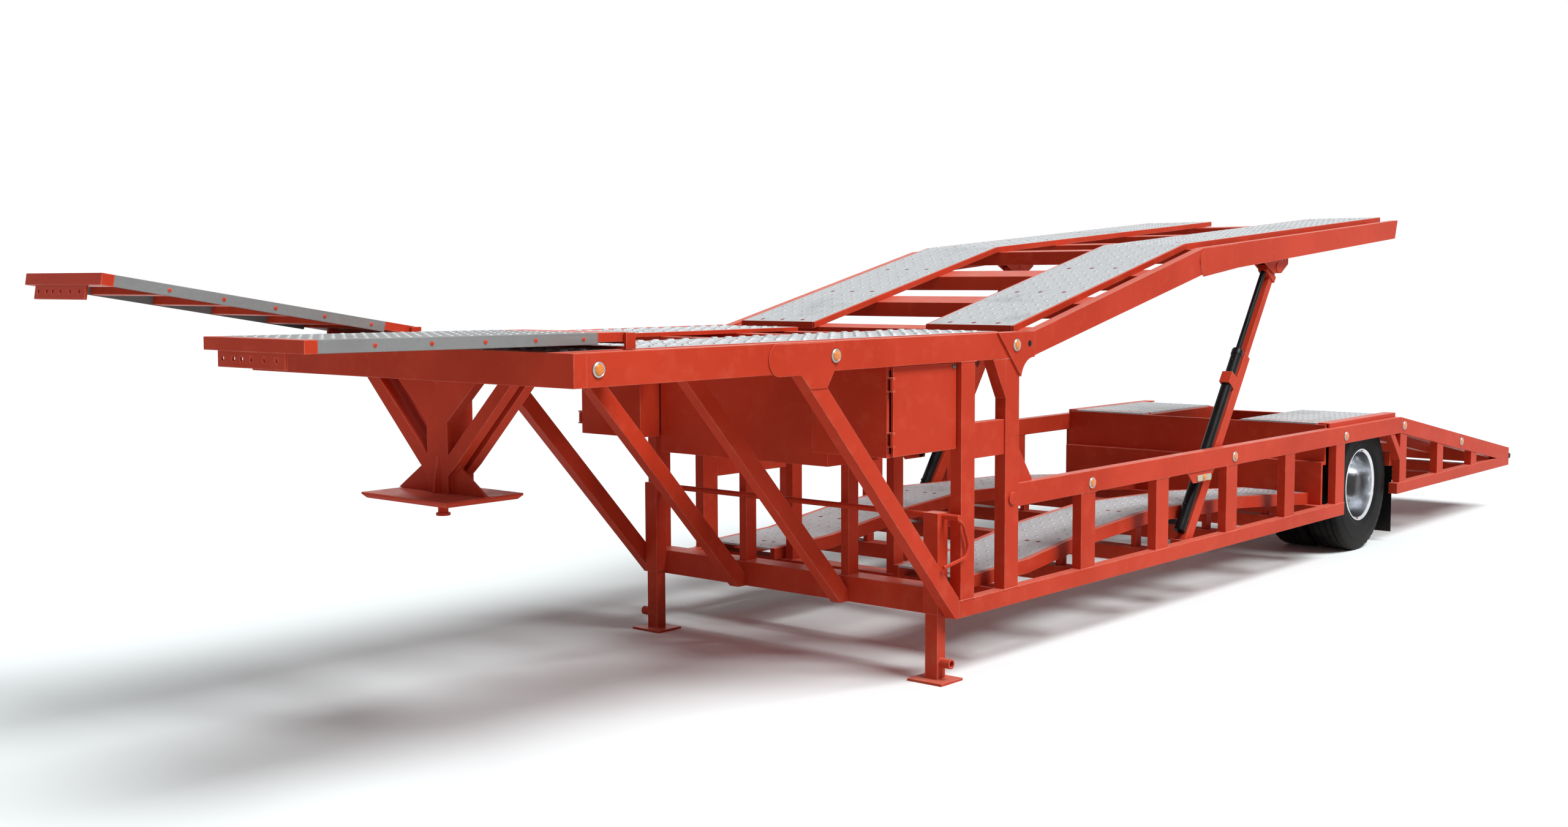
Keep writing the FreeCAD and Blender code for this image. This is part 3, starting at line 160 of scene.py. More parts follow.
def dress(tree, shader, colour, rough, bumps, **levels):
    # bumps are (height, strength, distance), each on top of the last; levels are set by name
    tree.links.new(colour, shader.inputs["Base Color"])
    tree.links.new(rough, shader.inputs["Roughness"])
    for label, level in levels.items():
        shader.inputs[label.replace("_", " ")].default_value = level
    normal = None
    for height, strength, distance in bumps:
        inputs = {"Height": height, "Strength": strength, "Distance": distance}
        if normal is not None:
            inputs["Normal"] = normal
        normal = feed(tree, "ShaderNodeBump", inputs).outputs["Normal"]
    tree.links.new(normal, shader.inputs["Normal"])


# the pale colour given to upward faces is a painted sheen, standing in for the sky's reflection on top faces
paintSet = {"colour": (0.60, 0.058, 0.026), "deep": (0.50, 0.041, 0.016), "faded": (0.64, 0.092, 0.050),
            # the pale edge colour is a painted highlight along the edges
            "edge": (0.86, 0.30, 0.22), "chip": (0.16, 0.05, 0.035), "dust": (0.34, 0.22, 0.16),
            "topSheen": (0.76, 0.25, 0.185), "cloud": (1.1, 4.0), "mottle": (9.0, 5.0, 0.6),
            "fine": (90.0, 3.0), "flakes": (42.0, 4.0, 0.7), "colourAt": (0.36, 0.64),
            "fadedAt": (0.52, 0.74, 0.0, 0.45), "topSheenAt": (0.8, 0.97, 0.0, 0.4),
            "edgeHighlightAt": (0.35, 0.62, 0.25, 0.9), "chipAt": (0.62, 0.68), "dustHeight": (0.0, 0.6, 0.2, 0.0),
            "edges": (0.006, 0.995, 0.86), "rough": (0.27, 0.46), "shine": 0.05}
# the plugs' red darkened as painted shade, standing in for the shade in their sunken holes
plugSet = {**paintSet, "colour": (0.24, 0.016, 0.007), "deep": (0.16, 0.010, 0.005),
           "faded": (0.30, 0.03, 0.015), "topSheen": (0.34, 0.04, 0.02)}


def redPaint(part, name):
    # faded in patches, a painted sheen on top faces, a painted highlight and chips along the edges, dusty low
    # down
    material, tree, shader, place = startMaterial(name)
    cloud, mottle = noise(tree, place, *part["cloud"]), noise(tree, place, *part["mottle"])
    fine, flakes = noise(tree, place, *part["fine"]), noise(tree, place, *part["flakes"])
    # upward faces get the painted sheen
    upward = component(tree, feed(tree, "ShaderNodeTexCoord").outputs["Normal"], "Z")
    edge = edgeMask(tree, *part["edges"])
    # painted highlight along the edges, patchy, in the pale edge colour
    edgeHighlight = arithmetic(tree, "MULTIPLY", edge, spread(tree, mottle, *part["edgeHighlightAt"]))
    chips = arithmetic(tree, "MULTIPLY", edge, spread(tree, flakes, *part["chipAt"]))
    low = spread(tree, component(tree, place, "Z"), *part["dustHeight"])
    dust = arithmetic(tree, "MULTIPLY", low, spread(tree, mottle, *noiseSpan))
    colour = layered(tree, part["deep"], [
        (spread(tree, cloud, *part["colourAt"]), part["colour"]),
        (spread(tree, mottle, *part["fadedAt"]), part["faded"]),
        (spread(tree, upward, *part["topSheenAt"]), part["topSheen"]),
        (edgeHighlight, part["edge"]), (chips, part["chip"]), (dust, part["dust"])])
    dress(tree, shader, colour, roughness(tree, mottle, part["rough"]),
          [(fine, 0.05, 0.0006), (mottle, 0.06, 0.002), (chips, -0.25, 0.0004)],
          Specular_IOR_Level=part["shine"])
    return material


zincSet = {"bright": (0.54, 0.56, 0.575), "dull": (0.44, 0.46, 0.475), "stain": (0.29, 0.287, 0.28),
           "scuff": (0.64, 0.65, 0.66), "spangle": 80.0, "cloud": (2.4, 5.0, 0.6), "grit": (140.0, 3.0),
           "grain": (0.7, 26.0, 9.0), "tracks": (3.0, 4.0, 0.65), "stainAt": (0.54, 0.74, 0.0, 0.6),
           "scuffAt": (0.56, 0.72, 0.0, 0.55), "flakeRough": (0.8, 1.2), "metal": 0.45,
           "rough": (0.52, 0.74)}
traySet = {**zincSet, "bright": (0.26, 0.262, 0.262), "dull": (0.235, 0.237, 0.237),
           "stain": (0.19, 0.19, 0.185), "scuff": (0.30, 0.30, 0.30), "metal": 0.5}


def galvanised(part, name):
    # spangled zinc, stained in patches and scuffed along the runway
    material, tree, shader, place = startMaterial(name)
    spangle = voronoi(tree, place, part["spangle"], "Color")
    flake = feed(tree, "ShaderNodeSeparateColor", {"Color": spangle}).outputs["Red"]
    cloud, grit = noise(tree, place, *part["cloud"]), noise(tree, place, *part["grit"])
    tracks = noise(tree, stretched(tree, place, part["grain"]), *part["tracks"])
    colour = layered(tree, part["dull"], [
        (flake, part["bright"]), (spread(tree, cloud, *part["stainAt"]), part["stain"]),
        (spread(tree, tracks, *part["scuffAt"]), part["scuff"])])
    patchy = arithmetic(tree, "MULTIPLY", cloud, spread(tree, flake, 0, 1, *part["flakeRough"]))
    dress(tree, shader, colour, roughness(tree, patchy, part["rough"]),
          [(grit, 0.08, 0.0005), (flake, 0.03, 0.0004), (tracks, 0.05, 0.001)], Metallic=part["metal"])
    return material


alloySet = {"bright": (0.86, 0.87, 0.89), "grey": (0.60, 0.62, 0.65), "cloud": (5.0, 4.0),
            "greyAt": (0.35, 0.7), "turning": (3.0, 260.0, 3.0), "lines": (1.4, 3.0), "rough": (0.07, 0.24)}


def polishedAlloy(part):
    # bright, with faint turning lines
    material, tree, shader, place = startMaterial("polishedAlloy")
    cloud = noise(tree, place, *part["cloud"])
    lines = noise(tree, stretched(tree, place, part["turning"]), *part["lines"])
    colour = blendColour(tree, spread(tree, cloud, *part["greyAt"]), part["bright"], part["grey"])
    dress(tree, shader, colour, roughness(tree, cloud, part["rough"]), [(lines, 0.03, 0.0005)], Metallic=1.0)
    return material


rubberSet = {"black": (0.004, 0.004, 0.0045), "grey": (0.013, 0.0125, 0.012), "dust": (0.05, 0.044, 0.038),
             "cloud": (4.0, 5.0, 0.6), "grain": (180.0, 3.0), "greyAt": (0.4, 0.7), "dustAt": (0.3, 0.65),
             "dustHeight": (0.0, 0.25, 0.5, 0.0), "rough": (0.52, 0.78), "shine": 0.12}


def rubber(part):
    # black going grey, with dust near the ground
    material, tree, shader, place = startMaterial("tyreRubber")
    cloud, grain = noise(tree, place, *part["cloud"]), noise(tree, place, *part["grain"])
    low = spread(tree, component(tree, place, "Z"), *part["dustHeight"])
    dust = arithmetic(tree, "MULTIPLY", low, spread(tree, cloud, *part["dustAt"]))
    colour = layered(tree, part["black"], [(spread(tree, cloud, *part["greyAt"]), part["grey"]),
                                           (dust, part["dust"])])
    dress(tree, shader, colour, roughness(tree, cloud, part["rough"]),
          [(grain, 0.12, 0.0008), (cloud, 0.05, 0.003)], Specular_IOR_Level=part["shine"])
    return material


plainSet = {"cloud": (7.0, 5.0, 0.62), "fine": (120.0, 3.0), "secondAt": (0.38, 0.68)}
plainLooks = {"hubSteel": ((0.10, 0.10, 0.105), (0.19, 0.17, 0.155), 0.35, (0.42, 0.66), 0.5),
              "blackPaint": ((0.004, 0.004, 0.005), (0.010, 0.009, 0.010), 0.0, (0.22, 0.40), 0.12),
              "ringChrome": ((0.52, 0.51, 0.49), (0.36, 0.35, 0.33), 1.0, (0.16, 0.34), 0.5),
              "nutSteel": ((0.62, 0.62, 0.62), (0.42, 0.41, 0.40), 0.9, (0.22, 0.45), 0.5),
              "reflectorPlate": ((0.50, 0.50, 0.36), (0.36, 0.42, 0.36), 0.0, (0.2, 0.35), 0.4)}


def plainFinish(name):
    # a look is two close colours, how metallic, the roughness range and how shiny
    first, second, metal, rough, shine = plainLooks[name]
    material, tree, shader, place = startMaterial(name)
    cloud, fine = noise(tree, place, *plainSet["cloud"]), noise(tree, place, *plainSet["fine"])
    colour = blendColour(tree, spread(tree, cloud, *plainSet["secondAt"]), first, second)
    dress(tree, shader, colour, roughness(tree, cloud, rough), [(fine, 0.06, 0.0005), (cloud, 0.05, 0.0015)],
          Metallic=metal, Specular_IOR_Level=shine)
    return material


lensSet = {"amber": (0.72, 0.17, 0.006), "pale": (0.86, 0.34, 0.03), "red": (0.55, 0.01, 0.008),
           "tail": -6.75, "cells": 190.0, "amberAt": (0.1, 0.7), "rough": (0.0, 0.8, 0.12, 0.3), "coat": 0.4}


def lampLens(part):
    # amber at the sides, red at the very back
    material, tree, shader, place = startMaterial("lampLens")
    back = arithmetic(tree, "LESS_THAN", component(tree, place, "X"), part["tail"])
    cells = voronoi(tree, place, part["cells"], "Distance")
    colour = layered(tree, part["pale"], [(spread(tree, cells, *part["amberAt"]), part["amber"]),
                                          (back, part["red"])])
    dress(tree, shader, colour, spread(tree, cells, *part["rough"]), [(cells, 0.3, 0.001)],
          Coat_Weight=part["coat"])
    return material


paint = redPaint(paintSet, "redPaint")
plugShadePaint = redPaint(plugSet, "plugShadePaint")
zinc = galvanised(zincSet, "galvanisedSheet")
traySteel = galvanised(traySet, "traySteel")
alloy = polishedAlloy(alloySet)
tyreRubber = rubber(rubberSet)
hubSteel = plainFinish("hubSteel")
blackPaint = plainFinish("blackPaint")
chrome = plainFinish("ringChrome")
nutSteel = plainFinish("nutSteel")
lens = lampLens(lensSet)
reflector = plainFinish("reflectorPlate")
slotMaterial = {"red_paint": paint, "runway_metal": zinc, "wheel_alloy": alloy, "rubber": tyreRubber,
                "black_paint": blackPaint, "hub_steel": hubSteel, "lamp_lens": lens}
print("materials made")

softenSet = {"merge": 0.00002, "smooth": 32.0, "flatten": 0.3, "round": 0.0028, "segments": 2,
             "plain": ("lamps", "left_tyres", "right_tyres", "left_rims", "right_rims", "runways",
                       "upper_deck_runways", "rear_deck_plates"),
             "holed": ("left_lift_post", "right_lift_post")}


def startTree(name, sockets):
    # a geometry tree with named inputs and one geometry output
    tree = bpy.data.node_groups.new(name, "GeometryNodeTree")
    for label, kind in (("Geometry", "Geometry"), *sockets):
        tree.interface.new_socket(label, in_out="INPUT", socket_type="NodeSocket" + kind)
    tree.interface.new_socket("Geometry", in_out="OUTPUT", socket_type="NodeSocketGeometry")
    return tree, feed(tree, "NodeGroupInput").outputs


def buildSoftenTree():
    # welds loose triangles and shades curved faces smooth, sharp edges staying sharp
    tree, start = startTree("weldAndShade", (("Weld distance", "Float"), ("Smooth below", "Float")))
    weld = feed(tree, "GeometryNodeMergeByDistance", {"Geometry": start["Geometry"],
                                                      "Distance": start["Weld distance"]})
    angle = feed(tree, "GeometryNodeInputMeshEdgeAngle").outputs["Unsigned Angle"]
    gentle = feed(tree, "FunctionNodeCompare", {0: angle, 1: start["Smooth below"]},
                  operation="LESS_THAN").outputs[0]
    faces = feed(tree, "GeometryNodeSetShadeSmooth", {"Geometry": weld.outputs[0], "Shade Smooth": True})
    edges = feed(tree, "GeometryNodeSetShadeSmooth", {"Geometry": faces.outputs[0], "Shade Smooth": gentle},
                 domain="EDGE")
    feed(tree, "NodeGroupOutput", {0: edges.outputs[0]})
    return tree


def setInputs(modifier, **given):
    # a modifier's inputs are named by their socket's identifier
    names = {item.name: item.identifier for item in modifier.node_group.interface.items_tree
             if item.in_out == "INPUT"}
    for label, setting in given.items():
        modifier[names[label.replace("_", " ")]] = setting


softenTree = buildSoftenTree()


def soften(node, part):
    thing = frame["nodes"][node]
    weld = thing.modifiers.new("weld", "NODES")
    weld.node_group = softenTree
    setInputs(weld, Weld_distance=part["merge"], Smooth_below=math.radians(part["smooth"]))
    if node not in part["holed"]:
        # a face with a hole in it can't be one flat face
        flat = thing.modifiers.new("flatten", "DECIMATE")
        flat.decimate_type = "DISSOLVE"
        flat.angle_limit = math.radians(part["flatten"])
    bevel = thing.modifiers.new("round", "BEVEL")
    bevel.limit_method = "ANGLE"
    bevel.angle_limit = math.radians(part["smooth"])
    bevel.width = part["round"]
    bevel.segments = part["segments"]
    bevel.use_clamp_overlap = True
    bevel.harden_normals = True


for entry in frame["record"]["subparts"]:
    thing = frame["nodes"][entry["node"]]
    thing.data.materials.clear()
    isTray = entry["node"].endswith("front_runway")
    thing.data.materials.append(traySteel if isTray else slotMaterial[entry["material_slot"]])
    if entry["node"] not in softenSet["plain"]:
        soften(entry["node"], softenSet)
print("frame finished")


def asMesh(work, name):
    # closes a bmesh into a plain mesh
    mesh = bpy.data.meshes.new(name)
    work.to_mesh(mesh)
    work.free()
    return mesh


def finished(work, name, body, material, replaced=(), smooth=35.0):
    # turns a bmesh into a piece of one material that rides on its body
    mesh = asMesh(work, name)
    mesh.materials.clear()
    mesh.materials.append(material)
    mesh.shade_smooth()
    mesh.set_sharp_from_angle(angle=math.radians(smooth))
    thing = linked(name, mesh)
    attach(thing, body)
    for node in replaced:
        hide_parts(node)


solidSet = {"upright": 0.7, "leastFace": 1e-5, "leastRun": 0.03}


def solidsOf(node):
    # each separate solid of a CAD node: its two corners and the corners of its upper faces
    whole = bmesh.new()
    whole.from_mesh(frame["nodes"][node].data)
    bmesh.ops.remove_doubles(whole, verts=whole.verts, dist=softenSet["merge"])
    whole.verts.ensure_lookup_table()
    seen, solids = set(), []
    for first in whole.verts:
        if first.index in seen:
            continue
        group, waiting = set(), [first]
        while waiting:
            vert = waiting.pop()
            if vert.index in group:
                continue
            group.add(vert.index)
            waiting += [edge.other_vert(vert) for edge in vert.link_edges]
        seen |= group
        places = [whole.verts[index].co.copy() for index in sorted(group)]
        faces = {face for index in group for face in whole.verts[index].link_faces}
        tops = [vert.co.copy() for face in faces for vert in face.verts
                if face.normal.z > solidSet["upright"] and face.calc_area() > solidSet["leastFace"]]
        low = Vector([min(place[axis] for place in places) for axis in range(3)])
        high = Vector([max(place[axis] for place in places) for axis in range(3)])
        solids.append({"low": low, "high": high, "tops": tops})
    whole.free()
    return solids


def picked(node, axis, least, most=math.inf):
    # a node's solids whose size along one axis lies between two bounds
    return [solid for solid in solidsOf(node) if least < solid["high"][axis] - solid["low"][axis] < most]


def topRuns(solid):
    # the upper faces of a bent sheet as (rear x, rear z, front x, front z), from back to front
    stations = {round(corner.x, 4): corner.z for corner in solid["tops"]}
    line = sorted(stations.items())
    return [(*first, *second) for first, second in zip(line, line[1:])
            if second[0] - first[0] > solidSet["leastRun"]]


def sheetDepth(solid):
    return min(min(run[1], run[3]) for run in topRuns(solid)) - solid["low"].z


def ringOf(work, radius, height, sides, phase=0.0):
    angles = [2 * math.pi / sides * (i + phase) for i in range(sides)]
    return [work.verts.new((radius * math.cos(angle), radius * math.sin(angle), height)) for angle in angles]


def wall(work, first, second):
    count = len(first)
    for i in range(count):
        work.faces.new((first[i], first[(i + 1) % count], second[(i + 1) % count], second[i]))


def latheShape(name, profile, sides=16, closed=False):
    # turned about Z from (radius, height) points; a radius of nought closes the pole
    work = bmesh.new()
    last = start = None
    for radius, height in profile:
        ring = [work.verts.new((0, 0, height))] if radius == 0 else ringOf(work, radius, height, sides)
        if last is not None:
            if len(last) == 1 or len(ring) == 1:
                tip, rim = (last[0], ring) if len(last) == 1 else (ring[0], last)
                for i in range(sides):
                    work.faces.new((tip, rim[i], rim[(i + 1) % sides]))
            else:
                wall(work, last, ring)
        start = start or ring
        last = ring
    if closed:
        wall(work, last, start)
    bmesh.ops.recalc_face_normals(work, faces=work.faces)
    return bpy.data.objects.new(name, asMesh(work, name))


def buildScatterTree():
    # one copy of a shape on every point, turned by the point's own attribute
    sockets = (("Shape", "Object"), ("Size", "Float"), ("Loose turn", "Float"), ("Seed", "Int"),
               ("Material", "Material"))
    tree, start = startTree("repeatOnPoints", sockets)
    shape = feed(tree, "GeometryNodeObjectInfo", {"Object": start["Shape"]}).outputs["Geometry"]
    turn = feed(tree, "GeometryNodeInputNamedAttribute", {"Name": "turn"}, data_type="FLOAT_VECTOR")
    points = feed(tree, "GeometryNodeMeshToPoints", {"Mesh": start["Geometry"]})
    copies = feed(tree, "GeometryNodeInstanceOnPoints", {"Points": points.outputs[0], "Instance": shape,
                                                         "Rotation": turn.outputs[0], "Scale": start["Size"]})
    chance = feed(tree, "FunctionNodeRandomValue", {"Seed": start["Seed"]}, data_type="FLOAT")
    loose = arithmetic(tree, "MULTIPLY", chance.outputs[1], start["Loose turn"])
    spin = feed(tree, "ShaderNodeCombineXYZ", {"Z": loose})
    turned = feed(tree, "GeometryNodeRotateInstances", {"Instances": copies.outputs[0],
                                                        "Rotation": spin.outputs[0], "Local Space": True})
    real = feed(tree, "GeometryNodeRealizeInstances", {"Geometry": turned.outputs[0]})
    coated = feed(tree, "GeometryNodeSetMaterial", {"Geometry": real.outputs[0],
                                                    "Material": start["Material"]})
    feed(tree, "NodeGroupOutput", {0: coated.outputs[0]})
    return tree


scatterTree = buildScatterTree()
scatterSet = {"size": 1.0, "seed": 3}


def repeated(shape, spots, material, loose=0.0):
    # spots are (place, turn); gives back one plain mesh of all the copies
    mesh = bpy.data.meshes.new("spots")
    mesh.from_pydata([tuple(place) for place, _ in spots], [], [])
    turns = mesh.attributes.new("turn", "FLOAT_VECTOR", "POINT")
    for i, (_, turn) in enumerate(spots):
        turns.data[i].vector = turn
    holder = linked("spots", mesh)
    bpy.context.scene.collection.objects.link(shape)
    modifier = holder.modifiers.new("repeat", "NODES")
    modifier.node_group = scatterTree
    setInputs(modifier, Shape=shape, Size=scatterSet["size"], Loose_turn=loose, Seed=scatterSet["seed"],
              Material=material)
    graph = bpy.context.evaluated_depsgraph_get()
    result = bpy.data.meshes.new_from_object(holder.evaluated_get(graph))
    holder.modifiers.remove(modifier)
    bpy.data.objects.remove(holder)
    bpy.data.meshes.remove(mesh)
    bpy.context.scene.collection.objects.unlink(shape)
    return result


def gathered(meshes):
    work = bmesh.new()
    for mesh in meshes:
        work.from_mesh(mesh)
        bpy.data.meshes.remove(mesh)
    return work


def scattered(shape, spots, name, body, material, smooth=35.0, loose=0.0):
    # a piece made of one shape on every spot
    copies = repeated(shape, spots, material, loose)
    finished(gathered([copies]), name, body, material, smooth=smooth)


def domed(radius, height, sunk=0.001):
    return [(0, -sunk), (radius, -sunk), (radius, height * 0.25), (radius * 0.86, height * 0.7),
            (radius * 0.5, height * 0.95), (0, height)]


signs = {"left": 1, "right": -1}
facing = {"left": (-math.pi / 2, 0, 0), "right": (math.pi / 2, 0, 0), "back": (0, -math.pi / 2, 0)}


def sideOf(solid):
    side = "left" if solid["low"].y > 0 else "right"
    return side, signs[side]


def roundedBox(lowU, highU, lowV, highV, radius):
    corners = ((highU - radius, highV - radius), (lowU + radius, highV - radius),
               (lowU + radius, lowV + radius), (highU - radius, lowV + radius))
    outline, steps = [], 4
    for quarter, (u, v) in enumerate(corners):
        for i in range(steps + 1):
            angle = math.pi / 2 * (quarter + i / steps)
            outline.append((u + radius * math.cos(angle), v + radius * math.sin(angle)))
    return outline


def plateMesh(outline, near, far, ease, axis="y"):
    # a flat plate between two depths along an axis, every edge eased
    work = bmesh.new()
    faces = [[work.verts.new((u, depth, v) if axis == "y" else (depth, u, v)) for u, v in outline]
             for depth in (near, far)]
    for face in faces:
        work.faces.new(face)
    wall(work, *faces)
    bmesh.ops.recalc_face_normals(work, faces=work.faces)
    bmesh.ops.bevel(work, geom=list(work.edges), offset=ease, segments=2, profile=0.5, affect="EDGES")
    return asMesh(work, "plate")


def firstHit(node, start, direction):
    # where a straight line first meets a CAD node's skin
    mesh = frame["nodes"][node].data
    skin = BVHTree.FromPolygons([vert.co for vert in mesh.vertices],
                                [face.vertices for face in mesh.polygons])
    return skin.ray_cast(Vector(start), Vector(direction))[0]


def jointCalled(name):
    return next(joint for joint in frame["record"]["behaviour"]["joints"] if joint["name"] == name)


treadSet = {"row": 0.110, "column": 0.088, "sides": 8, "phase": -2.5, "foot": 0.0150, "crown": 0.0102,
            "bore": 0.0064, "rise": 0.0042, "lip": 0.8, "hole": 0.0175, "boltColumns": (0.2, 0.5, 0.8),
            "weld": 0.0003, "plug": 0.0150, "plugRise": 0.3, "plugRoot": 0.006, "sunk": 0.003,
            "beamWidth": 1.0, "deckHeight": 1.5}
neckTreadSet = {**treadSet, "rise": 0.008, "foot": 0.023, "crown": 0.017}


def treadTile(name, long, wide, thick, part, kind):
    # one cell of sheet, flat, with a raised pierced button, a plain hole, or nothing
    work = bmesh.new()
    count = part["sides"]
    corners = [(-long / 2, -wide / 2), (long / 2, -wide / 2), (long / 2, wide / 2), (-long / 2, wide / 2)]
    top = [work.verts.new((x, y, 0)) for x, y in corners]
    base = [work.verts.new((x, y, -thick)) for x, y in corners]
    if kind == "plain":
        work.faces.new(top)
        work.faces.new(base)
    else:
        rings = [(part["hole"], 0.0), (part["hole"], -thick)]
        if kind == "button":
            rings = [(part["foot"], 0.0), (part["crown"], part["rise"]),
                     (part["bore"], part["rise"] * part["lip"]), (part["bore"], -thick)]
        # each side of the cell faces two corners of the ring
        made = [ringOf(work, radius, height, count, part["phase"]) for radius, height in rings]
        for first, second in zip(made, made[1:]):
            wall(work, first, second)
        for square, ring in ((top, made[0]), (base, made[-1])):
            for i in range(4):
                a, b, c = (ring[(2 * i + k) % count] for k in range(3))
                here, ahead = square[i], square[(i + 1) % 4]
                for corners in ((here, a, b), (here, b, ahead), (ahead, b, c)):
                    work.faces.new(corners)
    return bpy.data.objects.new(name, asMesh(work, name))


def treadCells(name, run, solid, thick, part, boltStations):
    # one straight stretch of sheet laid flat, and the places of its bolts
    rearX, _, frontX, _ = run
    lowY, highY = solid["low"].y, solid["high"].y
    columns = max(2, round((highY - lowY) / part["column"]))
    rows = max(1, round((frontX - rearX) / part["row"]))
    wide, long = (highY - lowY) / columns, (frontX - rearX) / rows
    boltRows = {int((station - rearX) / long) for station in boltStations if rearX < station < frontX}
    boltColumns = {int(share * columns) for share in part["boltColumns"]}
    spots = {"button": [], "hole": [], "plain": []}
    for row in range(rows):
        for column in range(columns):
            kind = "button"
            if row in boltRows:
                kind = "hole" if column in boltColumns else "plain"
            middle = (rearX + (row + 0.5) * long, lowY + (column + 0.5) * wide, 0)
            spots[kind].append((middle, (0, 0, 0)))
    tiles = [repeated(treadTile(f"{name}{kind}", long, wide, thick, part, kind), places, zinc)
             for kind, places in spots.items() if places]
    return tiles, [middle for middle, _ in spots["hole"]]


def treadSheet(name, solid, part, boltStations):
    # flat cells lifted onto the solid's own top line and closed round the rim, and the plugs' spots
    sheet, plugs = bmesh.new(), []
    thick = sheetDepth(solid)
    for run in topRuns(solid):
        rearX, rearZ, frontX, frontZ = run
        slope = (frontZ - rearZ) / (frontX - rearX)
        tiles, bolts = treadCells(name, run, solid, thick, part, boltStations)
        plugs += [((x, y, rearZ + (x - rearX) * slope - part["sunk"]), (0, -math.atan(slope), 0))
                  for x, y, _ in bolts]
        for tile in tiles:
            for vert in tile.vertices:
                vert.co.z += rearZ + (vert.co.x - rearX) * slope
            sheet.from_mesh(tile)
            bpy.data.meshes.remove(tile)
    bmesh.ops.remove_doubles(sheet, verts=sheet.verts, dist=part["weld"])
    rim = [edge for edge in sheet.edges if len(edge.link_faces) == 1]
    bmesh.ops.bridge_loops(sheet, edges=rim)
    bmesh.ops.recalc_face_normals(sheet, faces=sheet.faces)
    return asMesh(sheet, "sheet"), plugs


def treadPiece(name, body, solids, part, replaced, boltStations):
    # a pierced sheet for each solid, with a plug in each of its plain holes
    sheets, plugs = [], []
    for solid in solids:
        sheet, spots = treadSheet(name, solid, part, boltStations)
        sheets.append(sheet)
        plugs += spots
    if plugs:
        profile = domed(part["plug"], part["plug"] * part["plugRise"], part["plugRoot"])
        head = latheShape("plugHead", profile, 12)
        # the plug heads take the red paint darkened as painted shade
        scattered(head, plugs, f"{name}Plugs", body, plugShadePaint)
    finished(gathered(sheets), name, body, zinc, replaced)


def beamStations(node):
    # the middles of a node's crosswise solids
    return [(solid["low"].x + solid["high"].x) / 2 for solid in picked(node, 1, treadSet["beamWidth"])]


chassisBeams = beamStations("crossbeams")
runways = solidsOf("runways")
deckSheets = [solid for solid in runways if solid["low"].z > treadSet["deckHeight"]]
wellSheets = [solid for solid in runways if solid["low"].z < treadSet["deckHeight"]]
treadPiece("wellTread", "chassis", wellSheets, treadSet, ["runways"], chassisBeams)
treadPiece("neckTread", "chassis", deckSheets, neckTreadSet, [], chassisBeams)
treadPiece("wheelDeckTread", "chassis", solidsOf("rear_deck_plates"), treadSet, ["rear_deck_plates"], [])
treadPiece("upperTread", "upper_deck", solidsOf("upper_deck_runways"), treadSet, ["upper_deck_runways"],
           beamStations("upper_deck_crossmembers"))
print("tread sheets made")

rampSet = {"row": 0.10, "column": 0.075, "margin": 0.05, "foot": 0.0125, "crown": 0.009, "bore": 0.0055,
           "rise": 0.003, "sunk": 0.001, "rivetShares": (0.06, 0.25, 0.44, 0.63, 0.82), "rivet": 0.010,
           "rivetRise": 0.45, "depth": 0.027}


def rampDetail(side, part):
    # pierced buttons on the tray's top and rivets down both of its sides
    tray = solidsOf(f"{side}_front_runway")[0]
    low, high, margin = tray["low"], tray["high"], part["margin"]
    lines = topRuns(tray)
    rearX, rearZ, frontX, frontZ = lines[0][0], lines[0][1], lines[-1][2], lines[-1][3]
    slope = (frontZ - rearZ) / (frontX - rearX)
    button = latheShape("rampButton", [(part["foot"], -part["sunk"]), (part["crown"], part["rise"]),
                                       (part["bore"], part["rise"]), (part["bore"], -part["sunk"])],
                        8, closed=True)
    long, wide = frontX - rearX - 2 * margin, high.y - low.y - 2 * margin
    rows, columns = int(long / part["row"]), int(wide / part["column"])
    spots = []
    for row in range(rows + 1):
        x = rearX + margin + row * long / rows
        for column in range(columns + 1):
            place = (x, low.y + margin + column * wide / columns, rearZ + (x - rearX) * slope)
            spots.append((place, (0, -math.atan(slope), 0)))
    scattered(button, spots, f"{side}RampButtons", f"{side}_ramp", zinc)
    rivet = latheShape("rivetHead", domed(part["rivet"], part["rivet"] * part["rivetRise"]), 12)
    spots = []
    for share in part["rivetShares"]:
        x = rearX + share * (frontX - rearX)
        z = rearZ + (x - rearX) * slope - part["depth"]
        spots += [((x, high.y, z), facing["left"]), ((x, low.y, z), facing["right"])]
    scattered(rivet, spots, f"{side}RampRivets", f"{side}_ramp", paint)


for side in signs:
    rampDetail(side, rampSet)
print("front runways finished")

lampSet = {"outer": 0.0375, "inner": 0.0262, "rise": 0.0115, "sides": 28, "round": 0.002, "seat": 0.0095,
           "shoulder": 0.0118, "brow": 0.0136, "crown": 0.0143, "gap": 0.0004}


def lampDetail(part):
    # a bright rim and a domed lens on each round side lamp
    outer, inner, rise = part["outer"], part["inner"], part["rise"]
    rim = latheShape("lampRim", [(inner, 0), (outer, 0), (outer, rise * 0.35), (outer - 0.003, rise * 0.8),
                                 (inner + 0.004, rise), (inner, rise * 0.8)], part["sides"], closed=True)
    dome = latheShape("lampDome", [(0, part["seat"]), (inner - part["gap"], part["seat"]),
                                   (inner - part["round"], part["shoulder"]), (inner * 0.6, part["brow"]),
                                   (0, part["crown"])], part["sides"])
    spots = []
    for solid in solidsOf("lamps"):
        low, high = solid["low"], solid["high"]
        if abs((high.x - low.x) - (high.z - low.z)) > part["round"]:
            continue
        side, sign = sideOf(solid)
        base = low.y if sign > 0 else high.y
        spots.append((((low.x + high.x) / 2, base, (low.z + high.z) / 2), facing[side]))
    scattered(rim, spots, "lampRims", "chassis", chrome)
    scattered(dome, spots, "lampDomes", "chassis", lens, smooth=60)


lampDetail(lampSet)

